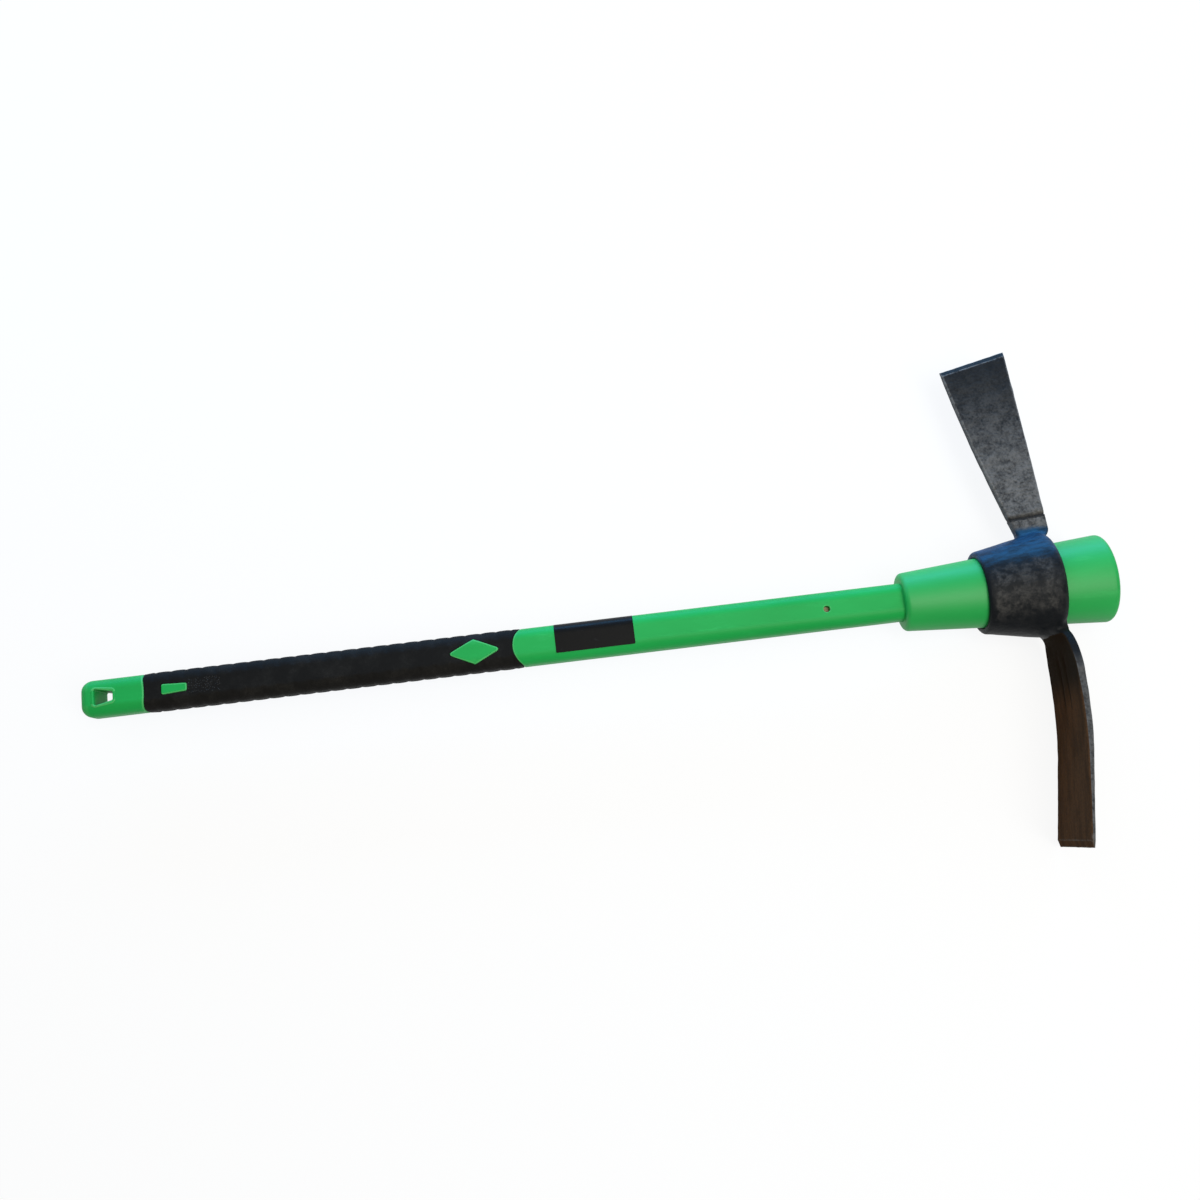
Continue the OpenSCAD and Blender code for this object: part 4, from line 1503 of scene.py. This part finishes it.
@dataclass
class ForgedHead:
    """Forged head: oval collar with a tapered eye, cutter in the handle's plane and adze across it."""

    rim_x: float = -0.1115
    face_x: float = -0.046
    rim_height: float = 0.0726
    face_height: float = 0.097
    rim_round: float = 0.0030
    face_round: float = 0.0085
    oval: float = 0.0686 / 0.078
    eye_height: float = 0.078
    eye_slope: float = 0.075
    eye_gap: float = 0.0003
    eye_edge: float = 0.0012
    cutter_reach: float = 0.219
    cutter_edge: float = 0.062
    cutter_slant: float = math.radians(12.0)
    cutter_corner_x: float = -0.048
    cutter_neck: float = 0.027
    cutter_neck_x: float = -0.0405
    cutter_thick: float = 0.0095
    cutter_bevel_thick: float = 0.004
    cutter_bevel: float = 0.0040
    cutter_bow: float = 0.0025
    cutter_back_bow: float = 0.0006
    cutter_fillet: float = 0.008
    edge_land: float = 0.0009
    band: float = 0.019
    band_rise: float = 0.0008
    band_step: float = 0.0004
    groove_depth: float = 0.0009
    groove_run: float = 0.0030
    shoulder_y: float = 0.0640
    shoulder_run: float = 0.0055
    shoulder_sway: float = 0.0016
    sway_per_m: float = 85.0
    adze_reach: float = 0.2245
    adze_edge: float = 0.078
    adze_neck: float = 0.036
    adze_shoulder: float = 0.0635
    adze_shoulder_drop: float = 0.034
    adze_set: float = 0.0035
    adze_thick: float = 0.0088
    adze_tip_thick: float = 0.003
    adze_bevel: float = 0.006
    adze_corner: float = 0.002
    adze_x: float = -0.0471
    adze_root_lean: float = math.radians(2.0)
    adze_tip_lean: float = math.radians(11.0)
    adze_bend_start: float = 0.090
    adze_bend_end: float = 0.155
    adze_fillet: float = 0.010
    adze_side_fillet: float = 0.005
    blade_round: float = 0.0019
    flute_depth: float = 0.0009
    flutes: tuple[float, float] = (-0.005, 0.008)
    flute_width: float = 0.0034
    flute_reach: tuple[float, float] = (0.060, 0.122)
    reflection_from: float = 0.046
    hammer_depth: float = 0.00028
    hammer_per_m: float = 70.0
    cutter_root: float = 0.031
    near_flare: tuple[float, float] = (0.5, 0.19)
    far_flare: tuple[float, float] = (0.5, 0.0)
    adze_root: float = 0.026
    adze_sweep_rise: float = 0.186
    eye_keep: float = 0.0385
    rim_keep: float = 0.004
    eye_margin: float = 0.0022
    crease_angle: float = math.radians(9.0)
    inner_facing: float = -0.5
    flute_facing: float = -0.8
    flute_ease: float = 6.0
    steps: int = 176
    collar_steps: tuple[int, int, int] = (8, 33, 12)
    cutter_steps: tuple[int, int, int] = (5, 36, 8)
    adze_steps: tuple[int, int, int] = (4, 4, 44)
    crease: float = 34.0
    edge_full_at: float = 0.12

    def collar_r(self, x: Number) -> Number:
        """Returns the collar's half height at a place along the handle."""
        slope = (self.face_height - self.rim_height) / 2 / (self.face_x - self.rim_x)
        return self.face_height / 2 + slope * (x - self.face_x)

    def eye_r(self, x: float) -> float:
        """Returns the eye's half height at a place along the handle."""
        return self.eye_height / 2 + self.eye_slope * x + self.eye_gap / self.oval

    def collar(self) -> Skin:
        """Returns the collar, solid, with both rims rounded."""
        profile = tapered_profile((self.rim_x, self.face_x), (self.rim_height / 2, self.face_height / 2),
                                  (self.rim_round, self.face_round), self.collar_steps)
        return oval_solid(profile, self.oval, self.steps)

    def eye(self) -> Skin:
        """Returns the tapered eye with eased edges, as a solid to cut with."""
        edge = self.eye_edge
        stages = [(self.rim_x - edge, 2 * edge), (self.rim_x, edge), (self.rim_x + 0.4 * edge, 0.35 * edge),
                  (self.rim_x + edge, 0.0), (self.face_x - edge, 0.0),
                  (self.face_x - 0.4 * edge, 0.35 * edge), (self.face_x, edge),
                  (self.face_x + 10 * edge, 2 * edge)]
        return oval_solid([(x, self.eye_r(x) + more) for x, more in stages], self.oval, self.steps)

    def collar_fall(self, x: np.ndarray, z: np.ndarray) -> np.ndarray:
        """Returns how far the collar's round surface falls away from the middle plane."""
        r = self.collar_r(x)
        return r * (1 - np.sqrt(np.maximum(1 - (z / (r * self.oval)) ** 2, 0.0)))

    def blade_ring(self, start: np.ndarray, end: np.ndarray, depth: float, corner: float,
                   steps: tuple[int, int, int]) -> np.ndarray:
        """Returns a blade's section between two points of its outline.

        Args:
            start: One side of the outline, as X and Y.
            end: The other side.
            depth: The thickness along Z.
            corner: The section's corner radius.
            steps: Steps in a corner, along the outline's span and along Z.

        Returns:
            The ring's points.
        """
        span = float(np.linalg.norm(end - start))
        along = (end - start) / span
        flat = oblong(span, depth, min(corner, 0.45 * depth, 0.45 * span), *steps)
        middle = (start + end) / 2
        return np.column_stack([middle + flat[:, :1] * along, flat[:, 1]])

    def seated(self, ring: np.ndarray, side: float, share: float) -> np.ndarray:
        """Returns a ring bent by a share of the collar's fall, on the side of Y that it stands on."""
        fall = self.collar_fall(ring[:, 0], ring[:, 2])
        return ring - np.column_stack([0 * fall, side * share * fall, 0 * fall])

    @staticmethod
    def flare(r: float, height: float) -> float:
        """Returns the spread of a round fillet at a height over its foot."""
        return 0.0 if height >= r else r - math.sqrt(r * r - (r - max(height, 0.0)) ** 2)

    @staticmethod
    def root_share(height: float, length: float) -> float:
        """Returns the share of a root's form that is left at a height over the collar."""
        return (1 - min(height / length, 1.0)) ** 2

    def cutter(self) -> Skin:
        """Returns the cutter, with its root inside the collar."""
        neck_x = self.cutter_neck_x
        foot = self.collar_r(neck_x - self.cutter_neck / 2) - self.cutter_fillet / 2
        length = self.cutter_reach - foot
        tip_far = np.array([self.cutter_corner_x, self.cutter_reach])
        slant = np.array([math.cos(self.cutter_slant), math.sin(self.cutter_slant)])
        tip_near = tip_far - self.cutter_edge * slant
        far = np.array([neck_x, foot])
        near = np.array([neck_x - self.cutter_neck, foot])
        bow_near = (near + tip_near) / 2 - (2 * self.cutter_bow, 0.0)
        bow_far = (far + tip_far) / 2 + (2 * self.cutter_back_bow, 0.0)
        bevel = 1 - self.cutter_bevel / length
        band = self.band / length
        groove = band + self.band_step / length

        def bezier(a: np.ndarray, b: np.ndarray, c: np.ndarray, t: float) -> np.ndarray:
            """Returns a point of a curve from a to c, drawn towards b."""
            return mix(mix(a, b, t), mix(b, c, t), t)

        def depth(t: float) -> float:
            """Returns the thickness, with the raised band at the neck and the ground bevel."""
            if t > bevel:
                return mix(self.cutter_bevel_thick, self.edge_land, (t - bevel) / (1 - bevel))
            past = (t - band) * length
            raised = float(np.interp(past, (0.0, self.band_step, self.band_step + self.groove_run),
                                     (self.band_rise, -self.groove_depth, 0.0)))
            return mix(self.cutter_thick, self.cutter_bevel_thick, t / bevel) + 2 * raised

        shares = np.concatenate([
            np.linspace(0, 1, 15)[:-1] ** 2 * self.cutter_fillet / length,
            np.linspace(self.cutter_fillet / length, band, 9)[:-1],
            band + np.array([0.0, 0.5, 1.0]) * self.band_step / length,
            np.linspace(groove, groove + self.groove_run / length, 6)[1:-1],
            np.linspace(groove + self.groove_run / length, bevel, 84),
            np.linspace(bevel, 1, 7)[1:]])
        rings = []
        for t in shares:
            spread = self.flare(self.cutter_fillet, t * length)
            start = bezier(near, bow_near, tip_near, t) - spread * np.array(self.near_flare)
            end = bezier(far, bow_far, tip_far, t) - spread * np.array(self.far_flare)
            ring = self.blade_ring(start, end, depth(t) + 2 * spread, self.blade_round + spread,
                                   self.cutter_steps)
            rings.append(self.seated(ring, 1.0, self.root_share(t * length, self.band)))
        root = rings[0] * (1, 0, 1) + (-self.face_round, self.cutter_root, 0)
        return Skin.loft([root, *rings])

    def adze_middle(self, reach: float, foot: float) -> float:
        """Returns the place of the adze's middle along the handle.

        Args:
            reach: The distance from the handle's axis.
            foot: The distance at which the adze starts.

        Returns:
            The place, before the set of the neck.
        """
        run = self.adze_bend_end - self.adze_bend_start
        turn = (math.tan(self.adze_tip_lean) - math.tan(self.adze_root_lean)) / run
        bent = min(max(reach - self.adze_bend_start, 0.0), run)
        beyond = max(reach - self.adze_bend_end, 0.0)
        straight = self.adze_x - math.tan(self.adze_root_lean) * (reach - foot)
        return straight - turn * bent * (bent / 2 + beyond)

    def adze(self) -> Skin:
        """Returns the adze, with its root inside the collar."""
        foot = self.collar_r(self.adze_x) - self.adze_side_fillet / 2
        length = self.adze_reach - foot
        ground_share = 1 - self.adze_bevel / length
        shares = np.concatenate([
            np.linspace(0, 1, 17)[:-1] ** 2 * self.adze_fillet / length,
            np.linspace(self.adze_fillet / length, ground_share, 100),
            np.linspace(ground_share, 1, 6)[1:]])
        rings = []
        for t in shares:
            reach = mix(foot, self.adze_reach, t)
            height = reach - foot
            neck = self.root_share(height, self.adze_shoulder_drop)
            flank = max(height - self.adze_shoulder_drop, 0.0) / (length - self.adze_shoulder_drop)
            ground = max(t - ground_share, 0.0) / (1 - ground_share)
            x = self.adze_middle(reach, foot) - self.adze_set * neck
            half = mix(self.adze_thick, self.adze_tip_thick, t) / 2
            inner = x - half + (self.adze_tip_thick - self.edge_land) * ground
            spread = 0.5 * self.flare(self.adze_side_fillet, height)
            sweep = self.flare(self.adze_fillet, height)
            width = mix(self.adze_shoulder, self.adze_edge, flank)
            width -= (self.adze_shoulder - self.adze_neck) * neck
            ring = self.blade_ring(np.array([x + half + spread, -reach]),
                                   np.array([inner - sweep, -reach + self.adze_sweep_rise * sweep]),
                                   width + 2 * spread - 2 * self.adze_corner * ground,
                                   self.blade_round + spread, self.adze_steps)
            rings.append(self.seated(ring, -1.0, neck))
        root = rings[0] * (1, 0, 1) + (-self.face_round, -self.adze_root, 0)
        return Skin.loft([root, *rings])

    def soften_roots(self, mesh: bpy.types.Mesh, reach: float = 0.007, rounds: int = 30) -> None:
        """Melts the creases where the blades grow out of the collar into fillets.

        Args:
            mesh: The head's mesh.
            reach: How far from a crease the metal flows.
            rounds: Rounds of smoothing.
        """
        points = positions(mesh)
        creased = self.root_creases(mesh, points)
        tree = KDTree(len(creased))
        for i, index in enumerate(creased):
            tree.insert(points[index], i)
        tree.balance()
        gap = np.array([tree.find(p)[2] for p in points])
        weight = np.clip(1 - gap / reach, 0.0, 1.0) ** 1.5
        radius = np.hypot(points[:, 1], points[:, 2] / self.oval)
        inside = radius < self.eye_keep + self.eye_slope * points[:, 0]
        weight[inside | (points[:, 0] < self.rim_x + self.rim_keep)] = 0.0
        pairs = edges_of(mesh)
        count = np.maximum(np.bincount(pairs.ravel(), minlength=len(points)), 1)[:, None]
        for _ in range(rounds):
            total = np.zeros_like(points)
            np.add.at(total, pairs[:, 0], points[pairs[:, 1]])
            np.add.at(total, pairs[:, 1], points[pairs[:, 0]])
            points += 0.5 * weight[:, None] * (total / count - points)
        set_positions(mesh, points)

    def root_creases(self, mesh: bpy.types.Mesh, points: np.ndarray) -> list[int]:
        """Returns the vertices of hollow creases that lie on the collar's surface."""
        work = bmesh.new()
        work.from_mesh(mesh)
        work.edges.ensure_lookup_table()
        off = np.abs(np.hypot(points[:, 1], points[:, 2] / self.oval) - self.collar_r(points[:, 0]))
        found = set()
        for edge in work.edges:
            if len(edge.link_faces) == 2 and edge.calc_face_angle_signed() < -self.crease_angle:
                found.update(v.index for v in edge.verts if off[v.index] < self.face_round)
        work.free()
        return sorted(found)

    def hammer(self, mesh: bpy.types.Mesh) -> None:
        """Gives the forging its shallow hammered waviness and the adze two flutes, with the attribute
        flute_darkening that darkens along them.
        """
        points = positions(mesh)
        normals = normals_of(mesh)
        wave = np.array([noise.fractal(Vector(p) * self.hammer_per_m, 1.0, 2.0, 3) for p in points])
        radius = np.hypot(points[:, 1], points[:, 2] / self.oval)
        in_eye = radius < self.eye_height / 2 + self.eye_slope * points[:, 0] + self.eye_margin
        push = self.hammer_depth * wave * np.where(in_eye, 0.0, 1.0)
        reach = -points[:, 1]
        low, high = self.flute_reach
        share = np.clip((reach - low) / (high - low), 0.0, 1.0)
        on_inner = (normals[:, 0] < self.flute_facing) & (reach > low)
        flute_darkening = np.zeros(len(points), dtype=np.float32)
        for z in self.flutes:
            width = self.flute_width * np.maximum(1 - share, 0.05)
            flute = np.exp(-((points[:, 2] - z) / width) ** 2) * np.clip(1 - share, 0.0, 1.0) ** 0.5
            flute = np.where(on_inner, flute, 0.0)
            push -= self.flute_depth * flute * np.clip(self.flute_ease * share, 0.0, 1.0)
            flute_darkening = np.maximum(flute_darkening, flute.astype(np.float32))
        set_positions(mesh, points + push[:, None] * normals)
        mesh.attributes.new("flute_darkening", "FLOAT", "POINT").data.foreach_set("value", flute_darkening)

    def sway(self, mesh: bpy.types.Mesh) -> None:
        """Makes the shoulder over the neck's raised band run unevenly, as hammer blows leave it."""
        points = positions(mesh)
        near = np.exp(-((points[:, 1] - self.shoulder_y) / self.shoulder_run) ** 2)
        wave = np.array([noise.noise(Vector((x, 0.0, z)) * self.sway_per_m) for x, _, z in points])
        points[:, 1] += self.shoulder_sway * wave * near
        set_positions(mesh, points)

    def give_inner_face_reflection(self, mesh: bpy.types.Mesh, material: bpy.types.Material) -> None:
        """Gives the adze's inner face its own finish, a painted brown reflection of the ground.

        Args:
            mesh: The head's mesh.
            material: The finish.
        """
        mesh.materials.append(material)
        for polygon in mesh.polygons:
            if polygon.normal.x < self.inner_facing and polygon.center.y < -self.reflection_from:
                polygon.material_index = 1

    def build(self, material: bpy.types.Material, inner: bpy.types.Material) -> bpy.types.Object:
        """Makes the head.

        Args:
            material: Its finish.
            inner: The finish of the adze's inner face.

        Returns:
            The finished piece.
        """
        obj = self.collar().to_object("forged_head")
        work_on(obj, self.cutter().to_object("cutter"), Cut.UNION)
        work_on(obj, self.adze().to_object("adze"), Cut.UNION)
        work_on(obj, self.eye().to_object("eye_cut"), Cut.DIFFERENCE)
        self.soften_roots(obj.data)
        self.hammer(obj.data)
        self.sway(obj.data)
        finish_piece(obj, material, self.crease, self.edge_full_at)
        self.give_inner_face_reflection(obj.data, inner)
        return obj


# Studio


@dataclass(frozen=True)
class Softbox:
    """Large soft lamp."""

    name: str
    place: tuple[float, float, float]
    aim: tuple[float, float, float]
    size: tuple[float, float]
    watts: float
    colour: Colour = (1.0, 1.0, 1.0)

    def build(self) -> bpy.types.Object:
        """Makes the lamp.

        Returns:
            The lamp, in the scene.
        """
        lamp = bpy.data.lights.new(self.name, "AREA")
        lamp.shape = "RECTANGLE"
        lamp.size, lamp.size_y = self.size
        lamp.energy = self.watts
        lamp.color = self.colour
        obj = bpy.data.objects.new(self.name, lamp)
        obj.location = self.place
        obj.rotation_euler = (Vector(self.aim) - Vector(self.place)).to_track_quat("-Z", "Y").to_euler()
        bpy.context.scene.collection.objects.link(obj)
        return obj


@dataclass(frozen=True)
class Studio:
    """Pale floor, soft light and the camera over the tool."""

    camera_place: tuple[float, float, float] = (-0.44103, -0.16755, 0.99388)
    camera_tilt: float = math.radians(11.5)
    camera_roll: float = math.radians(-6.9)
    lens_mm: float = 34.44
    sensor_mm: float = 36.0
    floor_half: float = 60.0
    floor_colour: Colour = (0.56, 0.56, 0.56)
    floor_seen: Colour = (0.94, 0.94, 0.94)
    floor_glow: float = 0.88
    ambient: float = 0.37
    ambient_colour: Colour = (0.99, 0.96, 0.89)
    lamps: tuple[Softbox, ...] = (
        Softbox("overhead", (-0.25, 0.25, 1.7), (-0.35, 0.0, 0.0), (2.0, 1.4), 8.0, (1.0, 0.94, 0.78)),
        Softbox("head_light", (0.25, -0.40, 1.65), (-0.10, 0.0, 0.0), (0.42, 1.5), 17.0,
                (1.0, 0.98, 0.92)),
        Softbox("cool_side", (-0.2, 1.3, 0.32), (-0.2, 0.0, 0.03), (2.6, 0.4), 38.0, (0.15, 0.50, 1.0)))

    def seen(self, graph: Graph) -> bpy.types.NodeSocket:
        """Returns 1 for rays that show the background: camera, glossy and transmission rays."""
        ray = graph.add("ShaderNodeLightPath").outputs
        both = graph.math("MAXIMUM", ray["Is Camera Ray"], ray["Is Glossy Ray"])
        return graph.math("MAXIMUM", both, ray["Is Transmission Ray"])

    def floor(self) -> bpy.types.Object:
        """Makes the level floor that the head lies on, wherever it stands along the handle.

        Returns:
            The floor.
        """
        low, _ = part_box(Node.HEAD.value)
        half = self.floor_half
        corners = [(sx * half, sy * half, low.z) for sx, sy in ((-1, -1), (1, -1), (1, 1), (-1, 1))]
        mesh = bpy.data.meshes.new("floor")
        mesh.from_pydata(corners, [], [(0, 1, 2, 3)])
        material = bpy.data.materials.new("floor")
        material.use_nodes = True
        graph = Graph(material.node_tree)
        material.node_tree.nodes.remove(material.node_tree.nodes["Principled BSDF"])
        seen = self.seen(graph)
        colour = graph.blend(seen, self.floor_colour, self.floor_seen)
        matt = graph.add("ShaderNodeBsdfDiffuse", inputs={"Color": colour})
        glow = graph.add("ShaderNodeEmission", inputs={"Color": (1.0, 1.0, 1.0), "Strength": 1.0})
        share = graph.math("MULTIPLY", seen, self.floor_glow)
        shown = graph.add("ShaderNodeMixShader", share, matt.outputs[0], glow.outputs[0])
        graph.put(material.node_tree.nodes["Material Output"].inputs["Surface"], shown.outputs[0])
        mesh.materials.append(material)
        obj = bpy.data.objects.new("floor", mesh)
        bpy.context.scene.collection.objects.link(obj)
        return obj

    def sky(self) -> None:
        """Sets the world, an even soft light."""
        world = bpy.data.worlds.new("studio")
        world.use_nodes = True
        soft = world.node_tree.nodes["Background"]
        soft.inputs["Color"].default_value = (*self.ambient_colour, 1.0)
        soft.inputs["Strength"].default_value = self.ambient
        bpy.context.scene.world = world

    def camera(self) -> None:
        """Sets the camera over the tool, tilted and rolled as the picture is."""
        lens = bpy.data.cameras.new("camera")
        lens.lens = self.lens_mm
        lens.sensor_width = self.sensor_mm
        obj = bpy.data.objects.new("camera", lens)
        turn = Matrix.Rotation(self.camera_tilt, 4, "X") @ Matrix.Rotation(self.camera_roll, 4, "Z")
        obj.matrix_world = Matrix.Translation(self.camera_place) @ turn
        bpy.context.scene.collection.objects.link(obj)
        bpy.context.scene.camera = obj

    def build(self) -> None:
        """Sets the whole studio."""
        self.floor()
        self.sky()
        for lamp in self.lamps:
            lamp.build()
        self.camera()
        bpy.context.scene.view_settings.view_transform = "Standard"


def main() -> None:
    """Builds the studio and every piece in order."""
    logging.basicConfig(level=logging.INFO, format="%(name)s: %(message)s")
    Studio().build()
    steel = ForgedSteel().build()
    moulding = GreenMoulding().build()
    sleeve_moulding = GreenMoulding("sleeve_moulding", specular=0.44).build()
    rubber = GripRubber().build()
    rough_rubber = GripRubber("stipple_rubber", base=(0.070, 0.070, 0.071),
                              dusty=(0.16, 0.158, 0.155)).build()
    sizes = HandleSizes.from_frame()
    grip = Grip(sizes)
    mount(ForgedHead().build(steel, PaintedGroundReflection().build()), Body.HEAD, Slot.STEEL, Node.HEAD)
    mount(EyeSleeve().build(sleeve_moulding), Body.HANDLE, Slot.MOULDING, Node.SLEEVE)
    mount(Jacket(sizes).build(moulding), Body.HANDLE, Slot.MOULDING, Node.JACKET)
    mount(grip.build(rubber), Body.HANDLE, Slot.RUBBER, Node.GRIP)
    mount(grip.dots(rough_rubber), Body.HANDLE, Slot.RUBBER)
    mount(BlankSticker(sizes).build(BlankFilm().build()), Body.HANDLE, Slot.RUBBER)
    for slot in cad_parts[Node.CORE.value].material_slots:
        slot.material = FibreglassBar().build()


if __name__ == "__main__":
    main()
